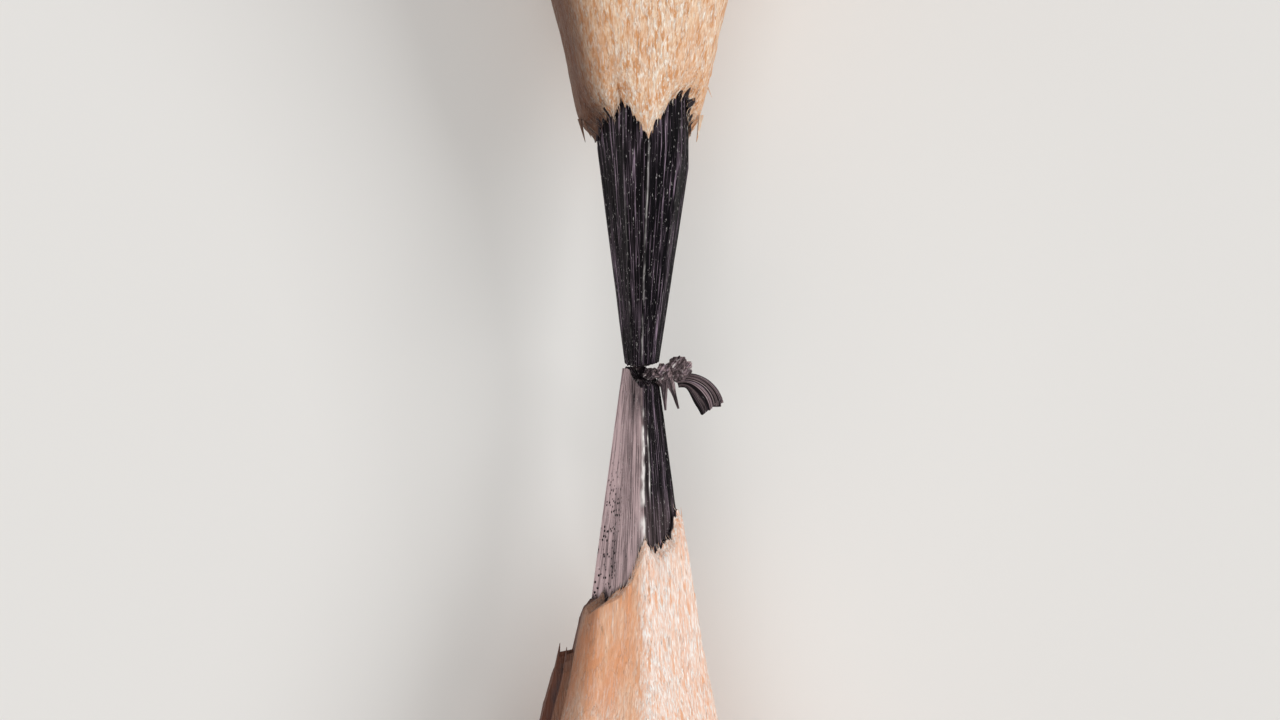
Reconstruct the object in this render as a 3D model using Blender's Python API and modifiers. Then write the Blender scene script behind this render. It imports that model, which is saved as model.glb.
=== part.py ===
"""A pencil snapped at its whittled waist: two halves of cedar and graphite, lying point to point.

The pencil lies on one flat of its barrel, along X, with the break at X = 0. The near half runs towards
-X and the far half towards +X. Lengths are in metres. Round the barrel, an angle of 0 looks along -Y,
90 looks up along +Z. Along a half, setback is the distance from the break plane towards its rear end.
"""

from dataclasses import dataclass

import bmesh
import bpy
import numpy as np
from mathutils import Matrix, Vector, noise

MM = 0.001

# Barrel and lead
BARREL_ACROSS_FLATS = 7.0 * MM
LEAD_DIAMETER = 2.15 * MM
NEAR_LENGTH = 50.0 * MM
FAR_LENGTH = 50.0 * MM
GLUE_LINE = 0.03 * MM

# Knife work
WOOD_EDGE_THICKNESS = 0.04 * MM
EDGE_RISE_ABOVE = 1.5
EDGE_RISE_BESIDE = 0.6
LEAD_RISE = 0.35 * MM
FLARE_START = 5.4 * MM
LEDGE_HEIGHT = 0.36 * MM
LEDGE_RAMP = 0.12 * MM

# Break
BREAK_OPENING = 0.15 * MM
CRUMB_CLEARANCE = 0.02 * MM
INNER_CRUMB_WIDTH = 0.26 * MM
INNER_CRUMB_LENGTH = 0.27 * MM
INNER_CRUMB_SETBACK = 0.06 * MM
MIDDLE_CRUMB_WIDTH = 0.30 * MM
MIDDLE_CRUMB_LENGTH = 0.44 * MM
MIDDLE_CRUMB_SETBACK = 0.09 * MM
OUTER_CRUMB_WIDTH = 0.40 * MM
OUTER_CRUMB_LENGTH = 0.52 * MM
OUTER_CRUMB_SETBACK = -0.05 * MM
CRUMB_DEPTH = 0.42 * MM
CRUMB_SQUARENESS = 0.62
CRUMB_DENTS = 0.22
FLAKE_THICKNESS = 0.05 * MM
FLAKE_ROOT_WIDTH = 0.34 * MM
FLAKE_END_WIDTH = 0.54 * MM
FLAKE_RADIUS = 0.675 * MM
FLAKE_SETBACK = 0.20 * MM
FLAKE_SAG = 0.10 * MM
FLAKE_DISH = 0.17 * MM
SLIVER_LENGTH = 0.60 * MM
SLIVER_WIDTH = 0.15 * MM
SLIVER_TIP_WIDTH = 0.05 * MM
SLIVER_LEANS = (3.5, 17.0)

# Resolution
AROUND = 72
LEAD_SIDES = 48
FLARE_RINGS = 7

AXIS_HEIGHT = BARREL_ACROSS_FLATS / 2
CORNER_RADIUS = AXIS_HEIGHT / np.cos(np.pi / 6)
LEAD_RADIUS = LEAD_DIAMETER / 2
BORE_RADIUS = LEAD_RADIUS + GLUE_LINE
TOOL_MARGIN = 2.0 * MM
ANGLES = np.linspace(0.0, 360.0, AROUND, endpoint=False)


@dataclass(frozen=True)
class Half:
    """One half of the pencil, as the knife and the break left it."""

    name: str
    direction: float
    length: float
    lead_shift: float
    tip_size: float
    taper: float
    flare: float
    wood_shoulder: float
    edge_rise: float
    lead_facets: tuple
    wood_facets: tuple
    wood_edge: tuple
    crown: tuple
    crown_centre: float
    ledge: tuple


# Each facet is its facing angle and its distance from the axis, in mm, where the section has size 1.
# The wood edge and the crown are setbacks in mm at angles round the axis.
NEAR = Half(
    name="near_half",
    direction=-1.0,
    length=NEAR_LENGTH,
    lead_shift=-0.14 * MM,
    tip_size=0.51,
    taper=0.162 / MM,
    flare=0.0223 / MM**2,
    wood_shoulder=0.11 * MM,
    edge_rise=0.45 * MM,
    lead_facets=(
        (130, 0.55), (82, 0.81), (41, 0.70), (-25, 0.70),
        (-70, 0.74), (-110, 0.72), (-145, 0.70), (166, 0.81),
    ),
    wood_facets=((117, 0.80), (47, 0.77), (-18, 0.765), (-80, 0.80), (-140, 0.80), (170, 0.895)),
    wood_edge=(
        (0, 3.35), (10, 3.28), (22, 3.45), (28, 3.70), (43, 3.95), (60, 4.12), (69, 4.25), (79, 4.06),
        (84, 3.92), (91, 4.25), (99, 4.60), (106, 4.80), (116, 5.02), (132, 5.22), (151, 5.50), (160, 5.36),
        (178, 5.52), (196, 5.10), (222, 4.55), (250, 4.92), (280, 4.15), (305, 4.50),
        (335, 3.90), (348, 3.60),
    ),
    crown=(
        (0, 0.20), (40, 0.30), (90, 0.36), (115, 0.20), (150, -0.04), (180, -0.10),
        (215, -0.13), (270, -0.16), (315, -0.04),
    ),
    crown_centre=0.20 * MM,
    ledge=((165, 7.6), (168, 6.7), (174, 6.52), (182, 6.5), (188, 6.7), (198, 7.2), (208, 8.2)),
)
FAR = Half(
    name="far_half",
    direction=1.0,
    length=FAR_LENGTH,
    lead_shift=0.07 * MM,
    tip_size=0.48,
    taper=0.1775 / MM,
    flare=0.0223 / MM**2,
    wood_shoulder=0.25 * MM,
    edge_rise=0.36 * MM,
    lead_facets=(
        (152, 0.62), (112, 0.75), (62, 0.78), (24, 0.82),
        (-20, 0.78), (-62, 0.74), (-104, 0.70), (-148, 0.62),
    ),
    wood_facets=(
        (165, 0.75), (122, 0.74), (80, 0.73), (38, 0.745),
        (-6, 0.765), (-50, 0.735), (-95, 0.74), (-145, 0.73),
    ),
    wood_edge=(
        (0, 5.62), (9, 6.02), (19, 6.30), (29, 6.56), (44, 6.44), (52, 6.26), (62, 6.08), (72, 5.82),
        (80, 5.52), (94, 5.80), (104, 6.10), (113, 6.36), (124, 5.90), (134, 5.96), (156, 5.92), (164, 5.40),
        (176, 5.30), (186, 5.22), (205, 5.74), (232, 5.30), (258, 5.86), (284, 5.28),
        (312, 6.00), (352, 5.20),
    ),
    crown=((0, 0.34), (60, 0.26), (100, 0.16), (150, 0.20), (180, 0.26), (240, 0.30), (300, 0.32)),
    crown_centre=BREAK_OPENING,
    ledge=(),
)


def around(points: tuple, angles: np.ndarray) -> np.ndarray:
    """Values in mm at angles, read as straight lines between (angle, value) points, in metres."""
    degrees, values = np.array(points, float).T
    return np.interp(angles % 360.0, degrees, values, period=360.0) * MM


def section_radius(facets: tuple, angles: np.ndarray) -> np.ndarray:
    """Radius of a whittled section of size 1: the nearest facet along each angle."""
    nearest = np.full(len(angles), np.inf)
    for facing, distance in facets:
        lean = np.cos(np.radians(angles - facing))
        reach = np.where(lean > 0.05, distance * MM / np.maximum(lean, 0.05), np.inf)
        nearest = np.minimum(nearest, reach)
    return nearest


def offset_circle(shift: float, radius: float, angles: np.ndarray) -> np.ndarray:
    """Distance from the barrel's axis to a circle whose centre lies shift away, towards angle 0."""
    turn = np.radians(angles)
    return shift * np.cos(turn) + np.sqrt(radius**2 - (shift * np.sin(turn)) ** 2)


def lead_surface(half: Half, setback: np.ndarray) -> np.ndarray:
    """Radius of the whittled lead: flat facets, which rise to the full round just before the wood."""
    flat = section_radius(half.lead_facets, ANGLES) * (half.tip_size + half.taper * setback)
    full = offset_circle(half.lead_shift, LEAD_RADIUS, ANGLES)
    rise = np.clip((setback - around(half.wood_edge, ANGLES)) / LEAD_RISE + 1.0, 0.0, 1.0)
    return flat + (np.maximum(full, flat) - flat) * rise**2


def ledge_rise(half: Half, setback: np.ndarray) -> np.ndarray:
    """Height of the torn ledge, where one knife stroke stopped short and left the wood thicker."""
    if not half.ledge:
        return np.zeros(AROUND)
    start = around(half.ledge, ANGLES)
    inside = (ANGLES >= half.ledge[0][0]) & (ANGLES <= half.ledge[-1][0])
    return np.where(inside, LEDGE_HEIGHT * np.clip((setback - start) / LEDGE_RAMP, 0.0, 1.0), 0.0)


def edge_rise(half: Half) -> np.ndarray:
    """How far behind the torn edge the wood gains most of its thickness: least on the pencil's two sides."""
    beside = np.cos(np.radians(ANGLES)) ** 2
    return half.edge_rise * (EDGE_RISE_ABOVE + (EDGE_RISE_BESIDE - EDGE_RISE_ABOVE) * beside)


def wood_surface(half: Half, setback: np.ndarray) -> np.ndarray:
    """Radius of the whittled wood: a thin torn edge that soon rises to the facets, which flare outwards."""
    size = half.tip_size + half.taper * setback + half.flare * np.maximum(0.0, setback - FLARE_START) ** 2
    whittled = section_radius(half.wood_facets, ANGLES) * size + half.wood_shoulder
    thinnest = offset_circle(half.lead_shift, BORE_RADIUS, ANGLES) + WOOD_EDGE_THICKNESS
    behind_edge = np.maximum(0.0, setback - around(half.wood_edge, ANGLES))
    rise = 1.0 - np.exp(-behind_edge / edge_rise(half))
    return thinnest + np.maximum(whittled - thinnest, 0.0) * rise + ledge_rise(half, setback)


def ring(half: Half, setback: np.ndarray, radius: np.ndarray) -> np.ndarray:
    """Points of one ring round the axis, as rows of x, y, z."""
    turn = np.radians(ANGLES)
    across = -radius * np.cos(turn)
    up = AXIS_HEIGHT + radius * np.sin(turn)
    return np.column_stack([half.direction * setback, across, up])


def collection(name: str, hidden: bool = False) -> bpy.types.Collection:
    """A new collection in the scene."""
    made = bpy.data.collections.new(name)
    made.hide_render = hidden
    bpy.context.scene.collection.children.link(made)
    return made


def add_mesh(name: str, bm: bmesh.types.BMesh, home: bpy.types.Collection) -> bpy.types.Object:
    """An object made from a bmesh of evenly wound faces, turned outwards where they face in."""
    if bm.calc_volume(signed=True) < 0.0:
        bmesh.ops.reverse_faces(bm, faces=bm.faces)
    mesh = bpy.data.meshes.new(name)
    bm.to_mesh(mesh)
    bm.free()
    made = bpy.data.objects.new(name, mesh)
    home.objects.link(made)
    return made


def as_cutter(made: bpy.types.Object) -> bpy.types.Object:
    """Marks an object as a cutter."""
    made.hide_render = True
    made.display_type = "WIRE"
    return made


def loft(name: str, rings: list, front: float, half: Half) -> bpy.types.Object:
    """A closed cutter through unlike rings, with a fan to a point on the axis in front and a flat rear."""
    bm = bmesh.new()
    rows = [[bm.verts.new(point) for point in points] for points in rings]
    for lower, upper in zip(rows, rows[1:]):
        for i in range(AROUND):
            j = (i + 1) % AROUND
            bm.faces.new((lower[i], lower[j], upper[j], upper[i]))
    tip = bm.verts.new((half.direction * front, 0.0, AXIS_HEIGHT))
    for i in range(AROUND):
        bm.faces.new((rows[0][i], tip, rows[0][(i + 1) % AROUND]))
    bm.faces.new(rows[-1])
    return as_cutter(add_mesh(name, bm, CUTTERS))


def rod(name: str, half: Half, sides: int, radius: float, turn: float, start: float, end: float,
        shift: float, home: bpy.types.Collection) -> bpy.types.Object:
    """A straight bar along the pencil, from one setback to another, shifted sideways."""
    bm = bmesh.new()
    bmesh.ops.create_cone(
        bm, cap_ends=True, segments=sides, radius1=radius, radius2=radius, depth=end - start,
    )
    middle = Vector((half.direction * (start + end) / 2, -shift, AXIS_HEIGHT))
    lay_down = Matrix.Rotation(np.pi / 2, 4, "Y") @ Matrix.Rotation(turn, 4, "Z")
    bm.transform(Matrix.Translation(middle) @ lay_down)
    return add_mesh(name, bm, home)


def boolean(target: bpy.types.Object, operation: str, cutter: bpy.types.Object) -> None:
    """Cuts a part with a cutter."""
    modifier = target.modifiers.new(cutter.name, "BOOLEAN")
    modifier.operation = operation
    modifier.object = cutter
    modifier.solver = "EXACT"


def material(name: str, colour: tuple, roughness: float, metallic: float = 0.0) -> bpy.types.Material:
    """A plain Principled material."""
    made = bpy.data.materials.new(name)
    made.use_nodes = True
    shader = made.node_tree.nodes["Principled BSDF"]
    shader.inputs["Base Color"].default_value = (*colour, 1.0)
    shader.inputs["Roughness"].default_value = roughness
    shader.inputs["Metallic"].default_value = metallic
    return made


def between(start: np.ndarray, end: np.ndarray, shares: tuple) -> list:
    """Setbacks part of the way from one row of setbacks to another."""
    return [start + (end - start) * share for share in shares]


def wood_form(half: Half) -> bpy.types.Object:
    """The whittled envelope of the wood, from its torn edge to past the rear end."""
    edge = around(half.wood_edge, ANGLES)
    narrowest = section_radius(half.wood_facets, ANGLES).min()
    barrel_start = FLARE_START + np.sqrt(CORNER_RADIUS / narrowest / half.flare)
    stations = [edge, edge + edge_rise(half) / 2, edge + edge_rise(half) * 1.3]
    if half.ledge:
        start = around(half.ledge, ANGLES)
        stations += [start, start + LEDGE_RAMP]
    shares = tuple(np.arange(1, FLARE_RINGS + 1) / FLARE_RINGS)
    stations += between(stations[-1], np.full(AROUND, barrel_start), shares)
    rings = [ring(half, setback, wood_surface(half, setback)) for setback in stations]
    behind = np.full(AROUND, half.length + TOOL_MARGIN)
    rings.append(ring(half, behind, wood_surface(half, stations[-1])))
    return loft(half.name + "_wood_form", rings, edge.min(), half)


def lead_form(half: Half) -> bpy.types.Object:
    """The whittled envelope of the lead: facets up to the wood's edge, full round under the wood."""
    edge = around(half.wood_edge, ANGLES)
    crown = around(half.crown, ANGLES)
    rise_start = edge - LEAD_RISE
    stations = [crown] + between(crown, rise_start, (0.5, 1.0)) + between(rise_start, edge, (0.4, 0.75, 1.0))
    rings = [ring(half, setback, lead_surface(half, setback)) for setback in stations]
    round_again = np.full(AROUND, LEAD_RADIUS + TOOL_MARGIN)
    rings.append(ring(half, edge + WOOD_EDGE_THICKNESS, round_again))
    rings.append(ring(half, np.full(AROUND, half.length + TOOL_MARGIN), round_again))
    return loft(half.name + "_lead_form", rings, half.crown_centre, half)


def build_slats(half: Half, bare_wood: bpy.types.Material) -> None:
    """The two glued slats of one half, whittled and bored for the lead."""
    form = wood_form(half)
    bore = as_cutter(rod(half.name + "_bore", half, LEAD_SIDES, BORE_RADIUS, 0.0, -TOOL_MARGIN,
                         half.length + TOOL_MARGIN, half.lead_shift, CUTTERS))
    for side, away in (("top_slat", -1.0), ("bottom_slat", 1.0)):
        bm = bmesh.new()
        reach = 2 * half.length
        bmesh.ops.create_cube(bm, size=2 * reach)
        middle = AXIS_HEIGHT + away * (reach - GLUE_LINE / 2)
        bmesh.ops.translate(bm, verts=bm.verts, vec=(0.0, 0.0, middle))
        other_side = as_cutter(add_mesh(f"{half.name}_{side}_cut", bm, CUTTERS))
        slat = rod(f"{half.name}_{side}", half, 6, CORNER_RADIUS, 0.0, 0.0, half.length, 0.0, PARTS)
        boolean(slat, "INTERSECT", form)
        boolean(slat, "DIFFERENCE", bore)
        boolean(slat, "DIFFERENCE", other_side)
        slat.data.materials.append(bare_wood)


def build_lead(half: Half, graphite: bpy.types.Material) -> None:
    """The graphite lead of one half."""
    lead = rod(half.name + "_lead", half, LEAD_SIDES, LEAD_RADIUS, 0.0, -TOOL_MARGIN, half.length,
               half.lead_shift, PARTS)
    boolean(lead, "INTERSECT", lead_form(half))
    lead.data.materials.append(graphite)
    lead.data.shade_smooth()
    lead.data.set_sharp_from_angle(angle=np.radians(25))


def build_crumb(name: str, centre: Vector, size: Vector, seed: int, graphite: bpy.types.Material) -> None:
    """A blocky crumb of graphite: a sphere pushed out towards its box, then dented by noise."""
    bm = bmesh.new()
    bmesh.ops.create_icosphere(bm, subdivisions=2, radius=1.0)
    for vert in bm.verts:
        dent = min(noise.noise(vert.co * 1.6 + Vector((seed * 7.0, 0.0, 0.0))), 0.0)
        blocky = [np.sign(value) * abs(value) ** CRUMB_SQUARENESS for value in vert.co]
        vert.co = Vector(blocky) * (1.0 + CRUMB_DENTS * dent)
    bm.transform(Matrix.Translation(centre) @ Matrix.Diagonal((*(size / 2), 1.0)))
    add_mesh(name, bm, PARTS).data.materials.append(graphite)


def build_sliver(name: str, top: Vector, lean: float, graphite: bpy.types.Material) -> None:
    """A thin hanging sliver of graphite, tapering away from the break."""
    bm = bmesh.new()
    bmesh.ops.create_cone(
        bm, cap_ends=True, segments=5, radius1=SLIVER_TIP_WIDTH / 2, radius2=SLIVER_WIDTH / 2,
        depth=SLIVER_LENGTH,
    )
    hang = Matrix.Rotation(np.radians(lean), 4, "Z") @ Matrix.Rotation(np.pi / 2, 4, "Y")
    bm.transform(Matrix.Translation(top) @ hang @ Matrix.Translation((0.0, 0.0, -SLIVER_LENGTH / 2)))
    add_mesh(name, bm, PARTS).data.materials.append(graphite)


def build_flake(root: Vector, graphite: bpy.types.Material) -> None:
    """A flake peeled off in a fan: a flat band that widens as it bends a quarter turn, sags and dishes."""
    bm = bmesh.new()
    bmesh.ops.create_grid(bm, x_segments=14, y_segments=4, size=0.5)
    centre = root - Vector((FLAKE_RADIUS, 0.0, 0.0))
    for vert in bm.verts:
        along = vert.co.x + 0.5
        side = vert.co.y
        width = FLAKE_ROOT_WIDTH + (FLAKE_END_WIDTH - FLAKE_ROOT_WIDTH) * along
        turn = np.radians(90.0 * (1.0 - along))
        radius = FLAKE_RADIUS + side * width
        drop = FLAKE_SAG * along**2 + FLAKE_DISH * side**2
        vert.co = centre + Vector((radius * np.sin(turn), -radius * np.cos(turn), -drop))
    flake = add_mesh("curled_flake", bm, PARTS)
    shell = flake.modifiers.new("Thickness", "SOLIDIFY")
    shell.thickness = FLAKE_THICKNESS
    shell.offset = 0.0
    flake.data.materials.append(graphite)


def build_debris(graphite: bpy.types.Material) -> None:
    """The crumbs, slivers and curled flake that cling to the break, in a row towards angle 0."""
    shelf = AXIS_HEIGHT + CRUMB_DEPTH / 2
    crown_side = -section_radius(NEAR.lead_facets, ANGLES)[0] * NEAR.tip_size
    row = (
        ("inner_crumb", INNER_CRUMB_WIDTH, INNER_CRUMB_LENGTH, INNER_CRUMB_SETBACK),
        ("middle_crumb", MIDDLE_CRUMB_WIDTH, MIDDLE_CRUMB_LENGTH, MIDDLE_CRUMB_SETBACK),
        ("outer_crumb", OUTER_CRUMB_WIDTH, OUTER_CRUMB_LENGTH, OUTER_CRUMB_SETBACK),
    )
    side = crown_side + INNER_CRUMB_WIDTH
    for seed, (name, width, length, setback) in enumerate(row, start=1):
        centre = Vector((-setback, side - width / 2, shelf))
        build_crumb(name, centre, Vector((length, width, CRUMB_DEPTH)), seed, graphite)
        side -= width + CRUMB_CLEARANCE
    build_flake(Vector((-FLAKE_SETBACK, side, shelf)), graphite)
    hang_from = MIDDLE_CRUMB_SETBACK + MIDDLE_CRUMB_LENGTH / 2 + CRUMB_CLEARANCE
    side = crown_side - CRUMB_CLEARANCE - SLIVER_WIDTH / 2
    for number, lean in enumerate(SLIVER_LEANS, start=1):
        top = Vector((-hang_from, side, shelf))
        build_sliver(f"hanging_sliver_{number}", top, lean, graphite)
        side -= SLIVER_WIDTH + CRUMB_CLEARANCE


for old in list(bpy.data.objects):
    bpy.data.objects.remove(old, do_unlink=True)
PARTS = collection("snapped_pencil")
CUTTERS = collection("cutters", hidden=True)


def main() -> None:
    """Builds both halves and what clings to the break."""
    bare_wood = material("Cedar", (0.78, 0.52, 0.32), 0.62)
    graphite = material("Graphite", (0.055, 0.048, 0.056), 0.34, 0.35)
    for half in (NEAR, FAR):
        build_slats(half, bare_wood)
        build_lead(half, graphite)
    build_debris(graphite)


main()
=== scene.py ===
"""Looks of the snapped pencil: whittled cedar, bare graphite, and the crumbs that cling to the break.

Sizes are in millimetres and angles in degrees, and meshes are written in metres. The pencil lies along X
with the break at X = 0. The near half runs towards -X and the far half towards +X. Round the barrel, an
angle of 0 looks along -Y and 90 looks up. Setback is the distance from the break towards a half's rear.
"""

import logging
from dataclasses import dataclass
from enum import Enum
from typing import Any

import bpy
import numpy as np
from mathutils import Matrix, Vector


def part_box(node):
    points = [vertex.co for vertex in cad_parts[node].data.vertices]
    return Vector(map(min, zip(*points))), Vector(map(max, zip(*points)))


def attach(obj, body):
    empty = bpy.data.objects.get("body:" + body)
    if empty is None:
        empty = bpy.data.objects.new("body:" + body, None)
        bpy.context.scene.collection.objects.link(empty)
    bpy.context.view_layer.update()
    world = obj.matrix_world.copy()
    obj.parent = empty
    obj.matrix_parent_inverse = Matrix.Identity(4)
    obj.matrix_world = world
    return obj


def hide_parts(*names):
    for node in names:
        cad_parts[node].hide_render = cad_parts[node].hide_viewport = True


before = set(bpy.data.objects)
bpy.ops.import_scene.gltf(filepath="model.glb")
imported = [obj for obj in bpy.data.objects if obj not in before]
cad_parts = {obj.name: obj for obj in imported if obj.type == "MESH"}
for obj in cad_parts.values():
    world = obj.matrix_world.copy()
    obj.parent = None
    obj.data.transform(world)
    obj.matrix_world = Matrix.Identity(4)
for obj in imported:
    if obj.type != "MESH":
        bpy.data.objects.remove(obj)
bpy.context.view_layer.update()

LOG = logging.getLogger("snapped_pencil")
METRES = 0.001
BODY = "root"
Array = np.ndarray
Pairs = tuple[tuple[float, float], ...]
Colour = tuple[float, float, float, float]

# Barrel and lead
AXIS_HEIGHT = 3.5
LEAD_RADIUS = 1.075
BORE_RADIUS = 1.105
GLUE_LINE = 0.03
HALF_LENGTH = 50.0
BARREL_FACETS: Pairs = tuple((30.0 + 60.0 * turn, 3.5) for turn in range(6))
BARREL_CORNER_RADIUS = 3.97
END_ROUNDING = 0.16

# Knife work
WOOD_EDGE_THICKNESS = 0.035
EDGE_RISE_ABOVE = 1.5
EDGE_RISE_BESIDE = 0.6
LEAD_RISE = 0.28
FLARE_START = 5.4
LEDGE_FRONT_HEIGHT = 0.33
LEDGE_REAR_HEIGHT = 0.38
LEDGE_RAMP = 0.06
INNER_LAYER_ANGLES = (164.0, 166.0)
OUTER_LAYER_ANGLES = (171.0, 172.6)
LEDGE_END_ANGLES = (204.0, 209.0)
CRACK_ANGLE = 170.9
CRACK_SETBACKS = (6.3, 6.6, 7.7, 8.6)
WOOD_RIDGE_ROUNDING = 0.05
LEAD_RIDGE_ROUNDING = 0.008

# Painted highlight strip, wear pits and a darker patch by the break, on the near lead's broad facet
HIGHLIGHT_STRIP_ANGLES = (154.0, 164.0, 200.0, 215.0)
PITTED_ANGLES = (134.0, 149.0, 186.0, 194.0)
PITTED_SETBACKS = (1.4, 3.2)
DARKENED_ANGLES = (118.0, 150.0)
DARKENED_SETBACKS = (0.50, 1.30)
PIT_CELLS = (10.0, 15.0, 15.0)

# Marks in the slats' groove, which the torn front shows, and round the lead at the sawn rear end
# In the groove, the smudge and shade marks paint the torn front near black: graphite smudge, with painted
# shade in the crevice.
GROOVE_MARKS = {"tint": 0.2, "smudge": 4.0, "barrel": 0.2, "shade": 1.0}
REAR_MARKS = {"tint": 0.2, "smudge": 0.12, "barrel": 0.2, "shade": 0.0}


class Slot(Enum):
    """The material slots."""

    CEDAR = "cedar"
    GRAPHITE = "graphite"


class Side(Enum):
    """Which of a half's two glued slats: the sign of its height above the glue line."""

    TOP = 1.0
    BOTTOM = -1.0


def smooth(low: float | Array, high: float | Array, value: Array) -> Array:
    """Eases from 0 at low to 1 at high: three times the square less twice the cube of the share.

    Args:
        low: Where the result leaves 0.
        high: Where the result reaches 1.
        value: The numbers to ease.

    Returns:
        The eased numbers.
    """
    share = np.clip((value - low) / (high - low), 0.0, 1.0)
    return share * share * (3.0 - 2.0 * share)


def band(edges: tuple[float, float, float, float], value: Array) -> Array:
    """Eases from 0 to 1 between the first two edges, and back to 0 between the last two."""
    return smooth(edges[0], edges[1], value) * (1.0 - smooth(edges[2], edges[3], value))


def stacked(*parts: Array | float) -> Array:
    """The parts, stretched to one another's shape, side by side along a new last axis."""
    return np.stack(np.broadcast_arrays(*parts), axis=-1)


def lattice(cells: Array, seed: int) -> Array:
    """A fixed random number from -1 to 1 for each cell: a hash of its three whole numbers.

    Args:
        cells: Whole numbers, three to a cell.
        seed: Which random field.

    Returns:
        One number to a cell.
    """
    mixed = cells[..., 0] * 73856093 ^ cells[..., 1] * 19349663 ^ cells[..., 2] * 83492791
    mixed = (mixed + seed * 40503) & 0xFFFFFFFF
    for shift, factor in ((15, 2246822519), (13, 3266489917)):
        mixed = ((mixed ^ (mixed >> shift)) * factor) & 0xFFFFFFFF
    return (mixed ^ (mixed >> 16)) / 2147483647.5 - 1.0


def noise(points: Array, per_mm: tuple[float, float, float], seed: int) -> Array:
    """Smooth noise from -1 to 1: the random numbers of the eight cells round a point, blended by nearness.

    Args:
        points: Points, three numbers each, in mm.
        per_mm: Cells to a mm along each of the three.
        seed: Which random field.

    Returns:
        One number to a point.
    """
    scaled = points * np.array(per_mm)
    cells = np.floor(scaled).astype(np.int64)
    part = scaled - cells
    part = part * part * (3.0 - 2.0 * part)
    total = np.zeros(points.shape[:-1])
    for corner in np.ndindex(2, 2, 2):
        share = np.where(corner, part, 1.0 - part).prod(axis=-1)
        total += share * lattice(cells + np.array(corner), seed)
    return total


def around(points: Pairs, angles: Array) -> Array:
    """Values at angles, read as straight lines between (angle, value) points that go full circle.

    Args:
        points: The (angle, value) points, in rising order of angle.
        angles: Where to read, in degrees.

    Returns:
        The values at those angles.
    """
    degrees, values = np.array(points, float).T
    return np.interp(angles % 360.0, degrees, values, period=360.0)


def whittle(facets: Pairs, angles: Array, rounding: float = 1e-4) -> tuple[Array, Array, Array]:
    """The nearest knife facet along each angle, where the section has size 1.

    A facet's reach is its distance from the axis over the cosine of the angle between it and the ray. A
    ridge is lowered by the rounding times the logarithm of 1 plus the exponential of minus the gap over it.

    Args:
        facets: Each facet's facing angle and distance.
        angles: The rays' angles.
        rounding: How round the ridges are, as a share of the reach.

    Returns:
        The rounded least reach, the two nearest facets' numbers, and the gap: how much further the second
        one is, as a share of the first.
    """
    facing, distance = np.array(facets, float).T
    lean = np.cos(np.radians(angles[..., None] - facing))
    reach = np.where(lean > 0.05, distance / np.maximum(lean, 0.05), 1e3)
    order = np.argsort(reach, axis=-1)[..., :2]
    nearest = np.take_along_axis(reach, order, axis=-1)
    gap = nearest[..., 1] / nearest[..., 0] - 1.0
    lowered = rounding * np.log1p(np.exp(-np.minimum(gap / rounding, 50.0)))
    return nearest[..., 0] * (1.0 - lowered), order, gap


def ridge_angle(facets: Pairs, first: int, second: int) -> float:
    """The angle of the ridge between two facets, where both reach equally far from the axis.

    There, each one's distance times the cosine of the angle to the other's facing is the same.

    Args:
        facets: Each facet's facing angle and distance.
        first: One facet's number.
        second: The other's number.

    Returns:
        The ridge's angle.
    """
    (one, near), (two, far) = facets[first], facets[second]
    one, two = np.radians((one, two))
    turn = np.arctan2(far * np.cos(one) - near * np.cos(two), near * np.sin(two) - far * np.sin(one))
    return float(np.degrees(turn)) + (0.0 if np.cos(turn - one) > 0.0 else 180.0)


def offset_circle(shift: float, radius: float, angles: Array) -> Array:
    """Distance from the axis to a circle whose centre lies shift away from it, towards angle 0.

    Args:
        shift: How far the circle's centre is off the axis.
        radius: The circle's radius.
        angles: The rays' angles.

    Returns:
        The distance along each ray.
    """
    turn = np.radians(angles)
    return shift * np.cos(turn) + np.sqrt(radius**2 - (shift * np.sin(turn)) ** 2)


def grid_faces(rows: int, columns: int, around_again: bool, start: int = 0) -> Array:
    """Four-cornered faces of a grid of points numbered row by row.

    Args:
        rows: Number of rows.
        columns: Number of points in a row.
        around_again: Whether each row closes on itself.
        start: The first point's number.

    Returns:
        One row of four point numbers to a face.
    """
    numbers = np.arange(rows * columns).reshape(rows, columns) + start
    if around_again:
        numbers = np.concatenate([numbers, numbers[:, :1]], axis=1)
    corners = (numbers[:-1, :-1], numbers[:-1, 1:], numbers[1:, 1:], numbers[1:, :-1])
    return np.stack(corners, axis=-1).reshape(-1, 4)


def signed_volume(points: Array, faces: list[Array]) -> float:
    """Volume inside the faces: a sixth of the triple products, summed over a fan of triangles to a face.

    Args:
        points: The points.
        faces: Point numbers of the faces, grouped by corner count.

    Returns:
        The volume, negative where the faces point inwards.
    """
    total = 0.0
    for group in faces:
        first = points[group[:, 0]]
        for i in range(1, group.shape[1] - 1):
            crossed = np.cross(points[group[:, i]], points[group[:, i + 1]])
            total += float((first * crossed).sum())
    return total / 6.0


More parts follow.
